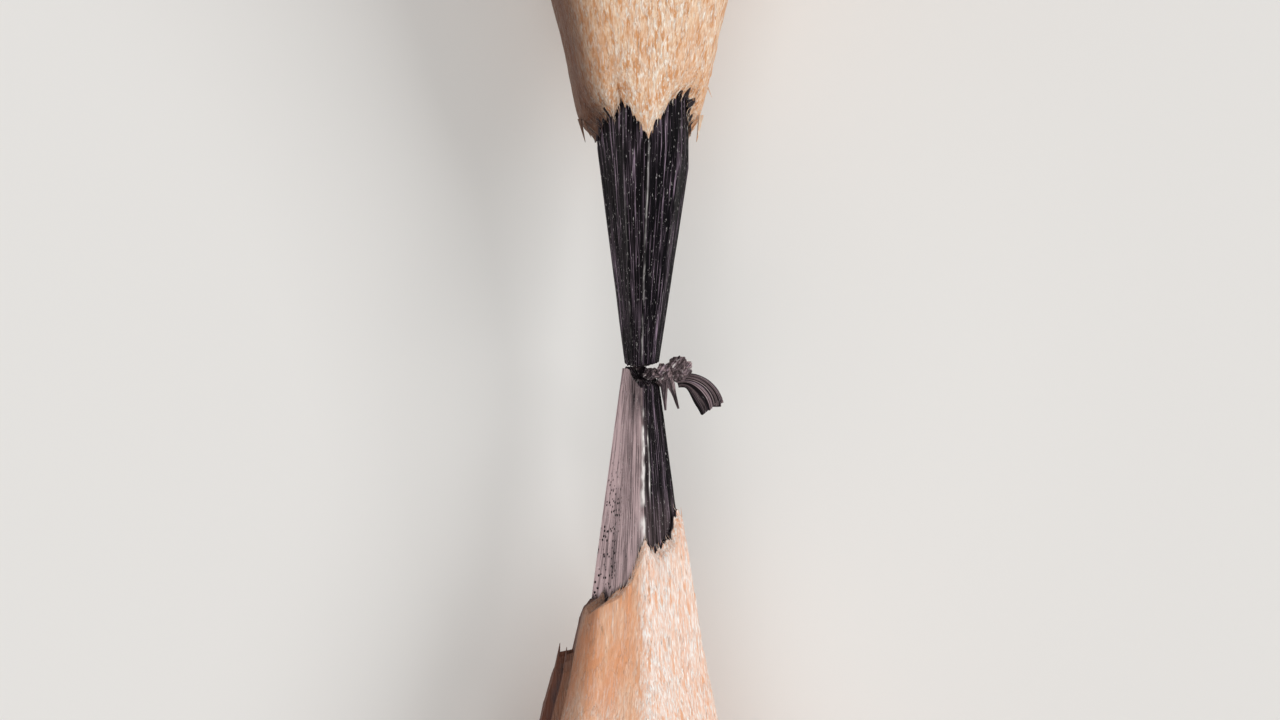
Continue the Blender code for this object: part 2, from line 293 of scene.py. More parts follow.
@dataclass
class Shell:
    """A closed surface.

    Attributes:
        points: Its points, in mm.
        faces: Point numbers of its faces, grouped by corner count.
        marks: Numbers that each point carries into the mesh, under their names.
    """

    points: Array
    faces: list[Array]
    marks: dict[str, Array]

    def outwards(self) -> "Shell":
        """Turns the faces out where they point in.

        Returns:
            The same surface, with its faces pointing out.
        """
        if signed_volume(self.points, self.faces) >= 0.0:
            return self
        return Shell(self.points, [group[:, ::-1] for group in self.faces], self.marks)

    def to_object(self, name: str, smooth_below: float) -> bpy.types.Object:
        """Writes the surface into a mesh object at the origin.

        Args:
            name: The object's name.
            smooth_below: Edges that turn by less than this many degrees are shaded smooth.

        Returns:
            The new object, in the scene.
        """
        mesh = bpy.data.meshes.new(name)
        mesh.from_pydata(self.points * METRES, [], [face for group in self.faces for face in group.tolist()])
        for mark, values in self.marks.items():
            kind = "FLOAT_VECTOR" if values.ndim == 2 else "FLOAT"
            field_name = "vector" if values.ndim == 2 else "value"
            attribute = mesh.attributes.new(mark, kind, "POINT")
            attribute.data.foreach_set(field_name, values.astype(np.float32).ravel())
        mesh.shade_smooth()
        mesh.set_sharp_from_angle(angle=np.radians(smooth_below))
        made = bpy.data.objects.new(name, mesh)
        bpy.context.scene.collection.objects.link(made)
        return made


def tube_shell(rings: Array, front: Array, rear: Array, marks: dict[str, Array]) -> Shell:
    """A closed tube through rings of points, with a fan to a middle point at each end.

    Args:
        rings: Points, as (ring, place round it, xyz).
        front: The middle point before the first ring.
        rear: The middle point behind the last ring.
        marks: Numbers at each point of the rings; the middle points take their ring's mean.

    Returns:
        The closed surface.
    """
    count, columns = rings.shape[:2]
    points = np.concatenate([rings.reshape(-1, 3), front[None], rear[None]])
    faces = grid_faces(count, columns, True)
    first = np.arange(columns)
    last = first + (count - 1) * columns
    tip = np.full(columns, count * columns)
    fans = np.concatenate(
        [
            np.stack([np.roll(first, -1), first, tip], axis=-1),
            np.stack([last, np.roll(last, -1), tip + 1], axis=-1),
        ]
    )
    kept = {}
    for mark, values in marks.items():
        flat = values.reshape(count * columns, *values.shape[2:])
        kept[mark] = np.concatenate([flat, values[0].mean(axis=0)[None], values[-1].mean(axis=0)[None]])
    return Shell(points, [faces, fans], kept).outwards()


def merged(shells: list[Shell]) -> Shell:
    """One surface made of several: points one after another, with the faces' numbers moved on to match.

    Args:
        shells: The surfaces, all with the same marks.

    Returns:
        The one surface.
    """
    starts = np.cumsum([0] + [len(shell.points) for shell in shells[:-1]])
    faces = [group + start for shell, start in zip(shells, starts) for group in shell.faces]
    points = np.concatenate([shell.points for shell in shells])
    marks = {mark: np.concatenate([shell.marks[mark] for shell in shells]) for mark in shells[0].marks}
    return Shell(points, faces, marks)


def dress(made: bpy.types.Object, material: bpy.types.Material, slot: Slot, *nodes: str) -> None:
    """Gives a piece its material and puts it in the place of the frame's nodes.

    Args:
        made: The piece.
        material: Its material.
        slot: Not used.
        nodes: The nodes that it stands for.
    """
    made.data.materials.append(material)
    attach(made, BODY)
    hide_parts(*nodes)
    LOG.info("%s: %d faces", made.name, len(made.data.polygons))


@dataclass(frozen=True)
class Glint:
    """A bright line along the ridge between two of a lead's facets.

    Attributes:
        first: One facet's number.
        second: The other's number.
        strength: How bright it is. Over 1, its middle is evenly bright.
        width: How far it reaches across the ridge.
        widening: How much its side at the larger angles widens with the square of the setback.
        start: The setback where it starts.
        end: The setback where it ends.
    """

    first: int
    second: int
    strength: float
    width: float
    widening: float
    start: float
    end: float


@dataclass(frozen=True)
class Half:
    """One half of the pencil, as the knife and the break left it.

    Attributes:
        name: What its nodes' names start with.
        direction: The sign of x on its side of the break.
        seed: Which random fields it uses.
        lead_shift: How far its lead lies off the axis, towards angle 0.
        tip_size: Its section's size at the break.
        taper: What the size gains with each mm of setback.
        flare: What it gains besides with the square of the setback past FLARE_START.
        wood_shoulder: What the wood's radius has above the size.
        edge_rise: How far behind its torn edge the wood reaches its full radius, in mm.
        twist: The turn of the lead's facets with each mm of setback.
        lead_facets: The facing angle and distance of each knife facet on the lead, where the size is 1.
        facet_sheen: How much painted sheen each of them has, from 0 to 1: the lamps' highlight painted on
            that facet.
        glints: The ridges of the lead that glint.
        wood_facets: The facing angle and distance of each knife facet on the wood.
        wood_tints_and_light: How pale each of them is, from 0 to 1: partly the wood's own colour, partly
            painted light on its lit side.
        wood_edge: The setback of the torn edge's main teeth at angles.
        crown: The setback of the broken end's rim at angles.
        crown_centre: The setback of the broken end's middle.
        ledge: The setback at angles where the torn ledge starts, or nothing.
        smudges: How smudged the torn edge is at angles, from 0 to 1.
        shades: How shaded the wood is at angles, from 0 to 1.
        teeth: How far the small teeth stand out.
        splinters: Of each, the angle, setback and radius of its base, the same of its tip, and its width.
    """

    name: str
    direction: float
    seed: int
    lead_shift: float
    tip_size: float
    taper: float
    flare: float
    wood_shoulder: float
    edge_rise: float
    twist: float
    lead_facets: Pairs
    facet_sheen: tuple[float, ...]
    glints: tuple[Glint, ...]
    wood_facets: Pairs
    wood_tints_and_light: tuple[float, ...]
    wood_edge: Pairs
    crown: Pairs
    crown_centre: float
    ledge: Pairs
    smudges: Pairs
    shades: Pairs
    teeth: float
    splinters: tuple[tuple[float, ...], ...]

    def place(self, angles: Array, setback: Array, radius: Array) -> Array:
        """Points at an angle round the axis, a setback and a distance from the axis, as x, y, z."""
        turn = np.radians(angles)
        return stacked(self.direction * setback, -radius * np.cos(turn), AXIS_HEIGHT + radius * np.sin(turn))

    def flow(self, angles: Array, setback: Array) -> Array:
        """Coordinates that follow the taper: the setback, and a circle of 1 mm at the angle."""
        turn = np.radians(angles)
        return stacked(setback, np.cos(turn), np.sin(turn))

    def torn_edge(self, angles: Array) -> Array:
        """Where the wood ends: the main teeth, with small spikes, narrow notches and fibre ends.

        A spike stands where one noise crosses 0, a notch where another does, and the ends are plain noise.

        Args:
            angles: The angles round the axis.

        Returns:
            The edge's setback at each angle.
        """
        ring = self.flow(angles, np.zeros_like(angles))
        spikes = np.clip(1.0 - 2.4 * np.abs(noise(ring, (1.0, 9.0, 9.0), self.seed)), 0.0, 1.0)
        notches = np.clip(1.0 - 4.5 * np.abs(noise(ring, (1.0, 6.5, 6.5), self.seed + 1)), 0.0, 1.0)
        frayed = 0.5 * noise(ring, (1.0, 13.0, 13.0), self.seed + 2)
        frayed += 0.5 * noise(ring, (1.0, 29.0, 29.0), self.seed + 3)
        return around(self.wood_edge, angles) + self.teeth * (1.5 * notches - 1.1 * spikes + frayed)

    def lead_radius(self, angles: Array, setback: Array) -> Array:
        """Flat facets that grow with the setback, and rise to the full round just under the wood's edge.

        The facets' reach is that of the section of size 1 times the size. The rise to the round goes with
        the square of the distance behind the wood's edge.

        Args:
            angles: The angles round the axis.
            setback: The setback of each point.

        Returns:
            The distance from the axis.
        """
        section, _, _ = whittle(self.lead_facets, angles - self.twist * setback, LEAD_RIDGE_ROUNDING)
        flat = section * (self.tip_size + self.taper * setback)
        full = offset_circle(self.lead_shift, LEAD_RADIUS, angles)
        rise = np.clip((setback - around(self.wood_edge, angles)) / LEAD_RISE, 0.0, 1.0)
        return np.minimum(flat + (np.maximum(full, flat) - flat) * rise**2, full)

    def bore_radius(self, angles: Array, setback: Array) -> Array:
        """The groove for the lead: a round one, drawn in to the lead's flat facets at the torn edge."""
        on_lead = self.lead_radius(angles, setback) + BORE_RADIUS - LEAD_RADIUS
        return np.minimum(offset_circle(self.lead_shift, BORE_RADIUS, angles), on_lead)

    def wood_radius(self, angles: Array, setback: Array) -> Array:
        """A thin torn edge that rises to the facets, soonest on the two sides, and flares out to the barrel.

        The rise is 1 less the exponential of minus the distance behind the edge over the half's edge rise.

        Args:
            angles: The angles round the axis.
            setback: The setback of each point.

        Returns:
            The distance from the axis.
        """
        section, _, _ = whittle(self.wood_facets, angles, WOOD_RIDGE_ROUNDING)
        flare = self.flare * np.maximum(0.0, setback - FLARE_START) ** 2
        whittled = section * (self.tip_size + self.taper * setback + flare) + self.wood_shoulder
        thinnest = self.bore_radius(angles, setback) + WOOD_EDGE_THICKNESS
        behind = np.maximum(0.0, setback - around(self.wood_edge, angles))
        beside = np.cos(np.radians(angles)) ** 2
        soon = self.edge_rise * (EDGE_RISE_ABOVE + (EDGE_RISE_BESIDE - EDGE_RISE_ABOVE) * beside)
        rise = 1.0 - np.exp(-behind / soon)
        return thinnest + np.maximum(whittled - thinnest, 0.0) * rise + self.ledge_rise(angles, setback)

    def ledge_rise(self, angles: Array, setback: Array) -> Array:
        """Height of the torn ledge, where one knife stroke stopped short and left two layers of wood.

        Args:
            angles: The angles round the axis.
            setback: The setback of each point.

        Returns:
            The height: 0 in front of the ledge, with a steep ramp up to it.
        """
        if not self.ledge:
            return np.zeros(np.broadcast(angles, setback).shape)
        ring = self.flow(angles, np.zeros_like(setback))
        ragged = 0.06 * noise(ring, (1.0, 15.0, 15.0), 71) + 0.06 * noise(ring, (1.0, 31.0, 31.0), 72)
        start = around(self.ledge, angles) + ragged
        turned = angles % 360.0
        inner_layer = smooth(*INNER_LAYER_ANGLES, turned)
        outer_layer = smooth(*OUTER_LAYER_ANGLES, turned)
        layers = (0.45 * inner_layer + 0.55 * outer_layer) * (1.0 - smooth(*LEDGE_END_ANGLES, turned))
        height = LEDGE_FRONT_HEIGHT + (LEDGE_REAR_HEIGHT - LEDGE_FRONT_HEIGHT) * smooth(6.5, 7.7, setback)
        return layers * height * np.clip((setback - start) / LEDGE_RAMP, 0.0, 1.0)

    def ledge_crack_shade(self, angles: Array, setback: Array) -> Array:
        """How much painted shade marks the crack between the ledge's two layers: a bell across it.

        Args:
            angles: The angles round the axis.
            setback: The setback of each point.

        Returns:
            The painted shade, from 0 to 1.
        """
        if not self.ledge:
            return np.zeros(np.broadcast(angles, setback).shape)
        return np.exp(-((angles % 360.0 - CRACK_ANGLE) ** 2)) * band(CRACK_SETBACKS, setback)


NEAR = Half(
    name="near_half",
    direction=-1.0,
    seed=11,
    lead_shift=-0.14,
    tip_size=0.51,
    taper=0.162,
    flare=0.0223,
    wood_shoulder=0.11,
    edge_rise=0.45,
    twist=0.0,
    lead_facets=(
        (130, 0.55), (82, 0.81), (41, 0.70), (-25, 0.70), (-70, 0.74), (-110, 0.72), (-145, 0.70),
        (166, 0.81),
    ),
    # Painted sheen: the broad facet and the one at its far side are painted as if lit.
    facet_sheen=(0.74, 0.07, 0.008, 0.03, 0.08, 0.14, 0.22, 1.00),
    glints=(
        Glint(0, 1, 1.7, 0.019, 0.22, 0.75, 9.0),
        Glint(1, 2, 1.20, 0.013, 0.0, 1.30, 3.1),
        Glint(2, 3, 0.40, 0.015, 0.0, 1.20, 3.4),
    ),
    wood_facets=((119, 0.81), (47, 0.78), (-18, 0.775), (-80, 0.81), (-140, 0.82), (170, 0.92)),
    # Paleness per facet: partly the wood's colour, partly painted light, the facets towards angle 0 paler as
    # if lit.
    wood_tints_and_light=(0.05, 0.95, 0.80, 0.45, 0.30, 0.10),
    wood_edge=(
        (0, 3.35), (10, 3.28), (22, 3.45), (28, 3.70), (43, 3.95), (60, 4.12), (69, 4.25), (79, 4.06),
        (84, 3.92), (91, 4.25), (99, 4.60), (106, 4.80), (116, 5.02), (132, 5.16), (151, 5.38), (160, 5.24),
        (178, 5.42), (196, 5.44), (222, 5.05), (250, 4.92), (280, 4.15), (305, 4.50), (335, 3.90),
        (348, 3.60),
    ),
    crown=(
        (0, 0.20), (40, 0.30), (90, 0.36), (115, 0.20), (150, -0.04), (180, -0.09),
        (215, -0.13), (270, -0.16), (315, -0.04),
    ),
    crown_centre=0.20,
    ledge=(
        (164, 7.9), (166, 6.90), (167.5, 6.58), (169, 6.74), (171, 7.05), (172.5, 6.76), (174, 6.48),
        (176, 6.74), (179, 6.96), (184, 7.02), (188, 7.10), (192, 7.15), (198, 7.3), (208, 8.2),
    ),
    smudges=(
        (0, 0.1), (20, 0.2), (40, 0.6), (70, 0.8), (80, 0.3), (90, 0.7), (110, 0.9), (170, 0.9), (200, 0.5),
    ),
    shades=(
        (129, 0.0), (137, 0.22), (144, 0.52), (163, 0.75), (168, 0.96), (185, 1.00), (235, 0.20), (260, 0.0),
    ),
    teeth=0.065,
    splinters=(
        (175.0, 6.95, 1.96, 173.8, 6.38, 1.895, 0.130), (168.6, 6.95, 1.79, 168.0, 6.46, 1.761, 0.110),
        (3.0, 3.66, 1.01, 0.0, 3.19, 0.965, 0.035), (186.0, 7.25, 2.00, 185.0, 6.86, 1.94, 0.080),
    ),
)
FAR = Half(
    name="far_half",
    direction=1.0,
    seed=31,
    lead_shift=0.07,
    tip_size=0.48,
    taper=0.1775,
    flare=0.0223,
    wood_shoulder=0.25,
    edge_rise=0.36,
    twist=-1.0,
    lead_facets=(
        (152, 0.62), (112, 0.75), (62, 0.78), (24, 0.82), (-20, 0.78), (-62, 0.74), (-104, 0.70),
        (-148, 0.62),
    ),
    facet_sheen=(0.012, 0.008, 0.001, 0.004, 0.01, 0.01, 0.01, 0.01),
    glints=(
        Glint(1, 2, 0.42, 0.015, 0.0, 0.15, 7.0),
        Glint(0, 1, 0.12, 0.015, 0.0, 0.60, 7.0),
        Glint(2, 3, 0.10, 0.015, 0.0, 0.60, 7.0),
    ),
    wood_facets=(
        (165, 0.77), (122, 0.755), (80, 0.745), (38, 0.765), (-6, 0.785), (-50, 0.75), (-95, 0.755),
        (-145, 0.75),
    ),
    # Paleness per facet: partly the wood's colour, partly painted light, the top facet palest as if lit.
    wood_tints_and_light=(0.35, 0.50, 0.72, 0.50, 0.36, 0.35, 0.30, 0.30),
    wood_edge=(
        (0, 5.76), (9, 6.02), (19, 6.28), (29, 6.52), (44, 6.46), (52, 6.30), (62, 6.08), (72, 5.82),
        (80, 5.50), (94, 5.84), (104, 6.14), (113, 6.40), (124, 5.96), (134, 6.02), (156, 5.96), (164, 5.60),
        (176, 5.50), (186, 5.56), (205, 5.78), (232, 5.40), (258, 5.86), (284, 5.28), (312, 6.00),
        (340, 5.62), (352, 5.66),
    ),
    crown=((0, 0.24), (60, 0.20), (100, 0.14), (150, 0.15), (180, 0.18), (240, 0.24), (300, 0.26)),
    crown_centre=0.15,
    ledge=(),
    smudges=(
        (0, 0.1), (18, 0.3), (32, 0.15), (52, 0.4), (80, 0.4), (110, 0.8), (140, 1.0), (170, 0.8), (220, 0.4),
    ),
    shades=(
        (112, 0.0), (123, 0.16), (134, 0.50), (143, 0.84), (156, 0.94), (185, 0.90), (235, 0.20), (260, 0.0),
    ),
    teeth=0.09,
    splinters=(
        (80.0, 5.75, 1.17, 76.0, 5.50, 1.02, 0.030), (171.0, 5.95, 1.44, 169.0, 5.40, 1.31, 0.100),
        (164.0, 5.90, 1.38, 163.0, 5.50, 1.20, 0.070), (4.0, 6.05, 1.44, 3.0, 5.42, 1.335, 0.130),
        (8.0, 6.70, 1.61, 8.0, 6.45, 1.71, 0.035),
    ),
)


def node(tree: bpy.types.NodeTree, kind: str, values: dict[Any, Any], **settings: Any) -> bpy.types.Node:
    """Adds a shader node, with each input set to a value or linked to another node's output.

    Args:
        tree: The tree to add to.
        kind: The node's type.
        values: A value or an output for each named or numbered input.
        settings: The node's own properties.

    Returns:
        The new node.
    """
    made = tree.nodes.new(kind)
    for name, value in settings.items():
        setattr(made, name, value)
    for key, value in values.items():
        if isinstance(value, bpy.types.NodeSocket):
            tree.links.new(value, made.inputs[key])
        else:
            made.inputs[key].default_value = value
    return made


def mixed(tree: bpy.types.NodeTree, share: Any, first: Any, second: Any, way: str = "MIX") -> Any:
    """The output of a colour mix of first and second by share."""
    made = node(tree, "ShaderNodeMix", {0: share, 6: first, 7: second}, data_type="RGBA", blend_type=way)
    return made.outputs[2]


def computed(tree: bpy.types.NodeTree, operation: str, *values: Any) -> Any:
    """The output of a maths node on one, two or three values."""
    return node(tree, "ShaderNodeMath", dict(enumerate(values)), operation=operation).outputs[0]


def new_group(
    name: str, given: dict[str, str], result: str, kind: str
) -> tuple[bpy.types.NodeTree, Any, Any]:
    """Starts a shader node group with one output.

    Args:
        name: The group's name.
        given: The kind of each input, Float or Vector, under its name.
        result: The output's name.
        kind: The output's kind.

    Returns:
        The group's tree, the sockets that hand in its inputs, and the socket that takes its result.
    """
    tree = bpy.data.node_groups.new(name, "ShaderNodeTree")
    for title, sort in given.items():
        tree.interface.new_socket(title, in_out="INPUT", socket_type=f"NodeSocket{sort}")
    tree.interface.new_socket(result, in_out="OUTPUT", socket_type=f"NodeSocket{kind}")
    handed = tree.nodes.new("NodeGroupInput").outputs
    return tree, handed, tree.nodes.new("NodeGroupOutput").inputs[result]


def grain_group() -> bpy.types.NodeTree:
    """Builds the group that makes long grain: noise in stretched coordinates, with its contrast raised.

    Returns:
        The group. It takes the coordinates, the cells to a mm along and across the grain, and the noise
        levels that give 0 and 1.
    """
    given = {"Vector": "Vector", "Along": "Float", "Across": "Float", "Low": "Float", "High": "Float"}
    tree, handed, result = new_group("long_grain", given, "Mask", "Float")
    across = handed["Across"]
    stretch = node(tree, "ShaderNodeCombineXYZ", {0: handed["Along"], 1: across, 2: across}).outputs[0]
    scaled = node(tree, "ShaderNodeVectorMath", {0: handed["Vector"], 1: stretch}, operation="MULTIPLY")
    values = {"Vector": scaled.outputs[0], "Scale": 1.0, "Detail": 3.0, "Roughness": 0.55}
    clouds = node(tree, "ShaderNodeTexNoise", values).outputs[0]
    values = {"Value": clouds, "From Min": handed["Low"], "From Max": handed["High"]}
    raised = node(tree, "ShaderNodeMapRange", values, interpolation_type="SMOOTHSTEP")
    tree.links.new(raised.outputs[0], result)
    return tree


def relief_group() -> bpy.types.NodeTree:
    """Builds the group that turns a broad mask and half a fine one into the normal of fine relief.

    Returns:
        The group. It takes the two masks and the relief's depth in metres.
    """
    given = {"Broad": "Float", "Fine": "Float", "Depth": "Float"}
    tree, handed, result = new_group("fine_relief", given, "Normal", "Vector")
    height = computed(tree, "MULTIPLY_ADD", handed["Fine"], 0.5, handed["Broad"])
    bump = node(tree, "ShaderNodeBump", {"Height": height, "Distance": handed["Depth"]})
    tree.links.new(bump.outputs[0], result)
    return tree


def pits_group() -> bpy.types.NodeTree:
    """Builds the group that makes small round pits.

    A pit is what lies near a cell's own point, in those cells whose random number is high.

    Returns:
        The group. It takes the coordinates.
    """
    tree, handed, result = new_group("round_pits", {"Vector": "Vector"}, "Mask", "Float")
    cells = node(tree, "ShaderNodeVectorMath", {0: handed["Vector"], 1: PIT_CELLS}, operation="MULTIPLY")
    found = node(tree, "ShaderNodeTexVoronoi", {"Vector": cells.outputs[0], "Scale": 1.0}).outputs
    values = {"Value": found["Distance"], "From Min": 0.40, "From Max": 0.24}
    near = node(tree, "ShaderNodeMapRange", values, interpolation_type="SMOOTHSTEP").outputs[0]
    number = node(tree, "ShaderNodeSeparateColor", {0: found["Color"]}).outputs[0]
    chosen = computed(tree, "GREATER_THAN", number, 0.35)
    tree.links.new(computed(tree, "MULTIPLY", near, chosen), result)
    return tree


@dataclass(frozen=True)
class Finish:
    """What every finish shares: its name and the node groups for grain and relief."""

    name: str
    grain: bpy.types.NodeTree
    relief: bpy.types.NodeTree

    def start(self) -> tuple[bpy.types.Material, bpy.types.NodeTree, bpy.types.Node]:
        """Starts the material.

        Returns:
            A new material, its tree and its Principled shader.
        """
        made = bpy.data.materials.new(self.name)
        made.use_nodes = True
        return made, made.node_tree, made.node_tree.nodes["Principled BSDF"]

    def grain_mask(
        self, tree: bpy.types.NodeTree, where: Any, along: float, across: float, low: float, high: float
    ) -> Any:
        """The mask of one grain: cells to a mm along and across, and the noise levels that give 0 and 1."""
        values = {"Vector": where, "Along": along, "Across": across, "Low": low, "High": high}
        return node(tree, "ShaderNodeGroup", values, node_tree=self.grain).outputs["Mask"]

    def relief_normal(self, tree: bpy.types.NodeTree, broad: Any, fine: Any, depth: float) -> Any:
        """The normal of fine relief from two masks, depth in metres."""
        values = {"Broad": broad, "Fine": fine, "Depth": depth}
        return node(tree, "ShaderNodeGroup", values, node_tree=self.relief).outputs["Normal"]


@dataclass(frozen=True)
class Cedar(Finish):
    """Bare cut cedar: warm to pale, with long streaks, painted glints on torn fibres, pores, graphite smears,
    and painted light and shade.
    """

    deep: Colour = (0.88, 0.385, 0.190, 1.0)
    warm: Colour = (0.95, 0.590, 0.395, 1.0)
    pale: Colour = (0.95, 0.830, 0.760, 1.0)
    streak: Colour = (0.85, 0.400, 0.205, 1.0)
    # The colour of the painted glints on torn fibres.
    fibre: Colour = (1.00, 0.97, 0.93, 1.0)
    streak_low: float = 0.53
    streak_share: float = 0.80
    pore: Colour = (0.34, 0.19, 0.11, 1.0)
    # Near black: graphite smears, and painted shade in the torn edge's crevice, the groove and the ledge's
    # crack.
    smear_and_shade: Colour = (0.040, 0.030, 0.034, 1.0)
    sealed: Colour = (0.70, 0.44, 0.25, 1.0)
    shade: Colour = (0.10, 0.050, 0.038, 1.0)

    def material(self) -> bpy.types.Material:
        """Builds the material. Marks on the mesh say how pale, partly with painted light, how smeared, partly
        with painted shade, how sealed and how shaded, with painted shade, each place is.

        Returns:
            The material.
        """
        made, tree, shader = self.start()
        place = node(tree, "ShaderNodeTexCoord", {}).outputs["Object"]
        where = node(tree, "ShaderNodeVectorMath", {0: place, "Scale": 1000.0}, operation="SCALE").outputs[0]
        tint, smudge, barrel, shaded = (
            node(tree, "ShaderNodeAttribute", {}, attribute_name=name).outputs["Fac"]
            for name in ("tint", "smudge", "barrel", "shade")
        )
        bands = self.grain_mask(tree, where, 0.16, 2.2, 0.38, 0.62)
        streaks = self.grain_mask(tree, where, 0.34, 8.0, self.streak_low, self.streak_low + 0.12)
        fibres = self.grain_mask(tree, where, 1.15, 10.5, 0.545, 0.63)
        splits = self.grain_mask(tree, where, 2.4, 21.0, 0.50, 0.62)
        threads = self.grain_mask(tree, where, 1.3, 30.0, 0.40, 0.62)
        pores = self.grain_mask(tree, where, 0.9, 17.0, 0.62, 0.71)
        patches = self.grain_mask(tree, where, 0.30, 1.5, 0.40, 0.60)
        wood = mixed(tree, bands, self.deep, self.warm)
        paleness = computed(tree, "MULTIPLY", tint, computed(tree, "MULTIPLY_ADD", patches, 0.40, 0.70))
        wood = mixed(tree, paleness, wood, self.pale)
        wood = mixed(tree, computed(tree, "MULTIPLY", streaks, self.streak_share), wood, self.streak)
        # Painted glints on the torn fibres and splits, stronger on the paler facets, which are partly painted
        # as lit.
        shine = computed(tree, "MULTIPLY", fibres, computed(tree, "MULTIPLY_ADD", patches, 0.65, 0.45))
        shine = computed(tree, "MULTIPLY", shine, computed(tree, "MULTIPLY_ADD", tint, 0.80, 0.28))
        wood = mixed(tree, shine, wood, self.fibre)
        glitter = computed(tree, "MULTIPLY", splits, computed(tree, "MULTIPLY_ADD", tint, 0.80, 0.16))
        wood = mixed(tree, glitter, wood, self.fibre)
        wood = mixed(tree, computed(tree, "MULTIPLY", threads, 0.54), wood, self.streak)
        wood = mixed(tree, computed(tree, "MULTIPLY", pores, 0.52), wood, self.pore)
        wood = mixed(tree, computed(tree, "MULTIPLY", barrel, 0.45), wood, self.sealed, "MULTIPLY")
        wood = mixed(tree, shaded, wood, self.shade, "MULTIPLY")
        # Graphite smears, with painted shade in the crevices, mixed towards the near-black smear colour.
        smear_and_shade_share = self.grain_mask(tree, where, 2.0, 11.0, 0.36, 0.62)
        smear_and_shade_share = computed(tree, "MULTIPLY", smudge, computed(tree, "MULTIPLY_ADD", smear_and_shade_share, 0.75, 0.25))
        wood = mixed(tree, smear_and_shade_share, wood, self.smear_and_shade)
        tree.links.new(wood, shader.inputs["Base Color"])
        rough = computed(tree, "MULTIPLY_ADD", barrel, -0.22, 0.58)
        rough = computed(tree, "MULTIPLY_ADD", threads, 0.12, rough)
        tree.links.new(rough, shader.inputs["Roughness"])
        tree.links.new(self.relief_normal(tree, fibres, threads, 1.4e-5), shader.inputs["Normal"])
        shader.inputs["Specular IOR Level"].default_value = 0.30
        shader.inputs["Sheen Weight"].default_value = 0.05
        return made


@dataclass(frozen=True)
class Graphite(Finish):
    """Cut or broken graphite: blue-black, with a painted sheen of lit grey, streaks, bright specks and round
    pits.
    """

    pits: bpy.types.NodeTree
    black: Colour = (0.0010, 0.0008, 0.0018, 1.0)
    streak: Colour = (0.330, 0.245, 0.320, 1.0)
    # The colour of the painted sheen: the lamps' highlight on a lit facet.
    painted_sheen: Colour = (0.56, 0.415, 0.425, 1.0)
    shine: Colour = (0.95, 0.90, 0.88, 1.0)
    roughness: float = 0.46
    specks: float = 0.42
    depth: float = 7e-6

    def material(self) -> bpy.types.Material:
        """Builds the material. Marks on the mesh give the cut's flow, its painted sheen, its painted glints
        and its pits.

        Returns:
            The material.
        """
        made, tree, shader = self.start()
        where = node(tree, "ShaderNodeAttribute", {}, attribute_name="flow").outputs["Vector"]
        tone, glint, pitted = (
            node(tree, "ShaderNodeAttribute", {}, attribute_name=name).outputs["Fac"]
            for name in ("tone", "glint", "pitted")
        )
        wide = self.grain_mask(tree, where, 0.25, 6.0, 0.42, 0.62)
        fine = self.grain_mask(tree, where, 0.60, 17.0, 0.45, 0.60)
        hair = self.grain_mask(tree, where, 1.10, 38.0, 0.42, 0.62)
        specks = self.grain_mask(tree, where, 9.0, 34.0, 0.645, 0.70)
        dots = self.grain_mask(tree, where, 13.0, 13.0, 0.60, 0.70)
        lines = computed(tree, "MULTIPLY_ADD", wide, 0.18, computed(tree, "MULTIPLY", hair, 0.42))
        lines = computed(tree, "MULTIPLY_ADD", fine, 0.40, lines)
        dark = mixed(tree, computed(tree, "POWER", lines, 5.2), self.black, self.streak)
        # The tone times these streaks is how far each place goes to the painted sheen colour.
        streaked_sheen = computed(tree, "MULTIPLY_ADD", hair, 0.56, computed(tree, "MULTIPLY_ADD", fine, 0.62, 0.27))
        streaked_sheen = computed(tree, "MULTIPLY_ADD", dots, -0.30, computed(tree, "MULTIPLY_ADD", wide, 0.30, streaked_sheen))
        face = mixed(tree, computed(tree, "MULTIPLY", tone, streaked_sheen), dark, self.painted_sheen)
        glint = computed(tree, "MULTIPLY", glint, computed(tree, "MULTIPLY_ADD", hair, 0.45, 0.74))
        face = mixed(tree, glint, face, self.shine)
        face = mixed(tree, computed(tree, "MULTIPLY", specks, self.specks), face, self.shine)
        pits = node(tree, "ShaderNodeGroup", {"Vector": where}, node_tree=self.pits).outputs["Mask"]
        face = mixed(tree, computed(tree, "MULTIPLY", pits, pitted), face, self.black)
        tree.links.new(face, shader.inputs["Base Color"])
        rough = computed(tree, "MULTIPLY_ADD", fine, 0.12, self.roughness)
        tree.links.new(rough, shader.inputs["Roughness"])
        tree.links.new(self.relief_normal(tree, wide, fine, self.depth), shader.inputs["Normal"])
        shader.inputs["Metallic"].default_value = 0.10
        shader.inputs["Specular IOR Level"].default_value = 0.05
        return made


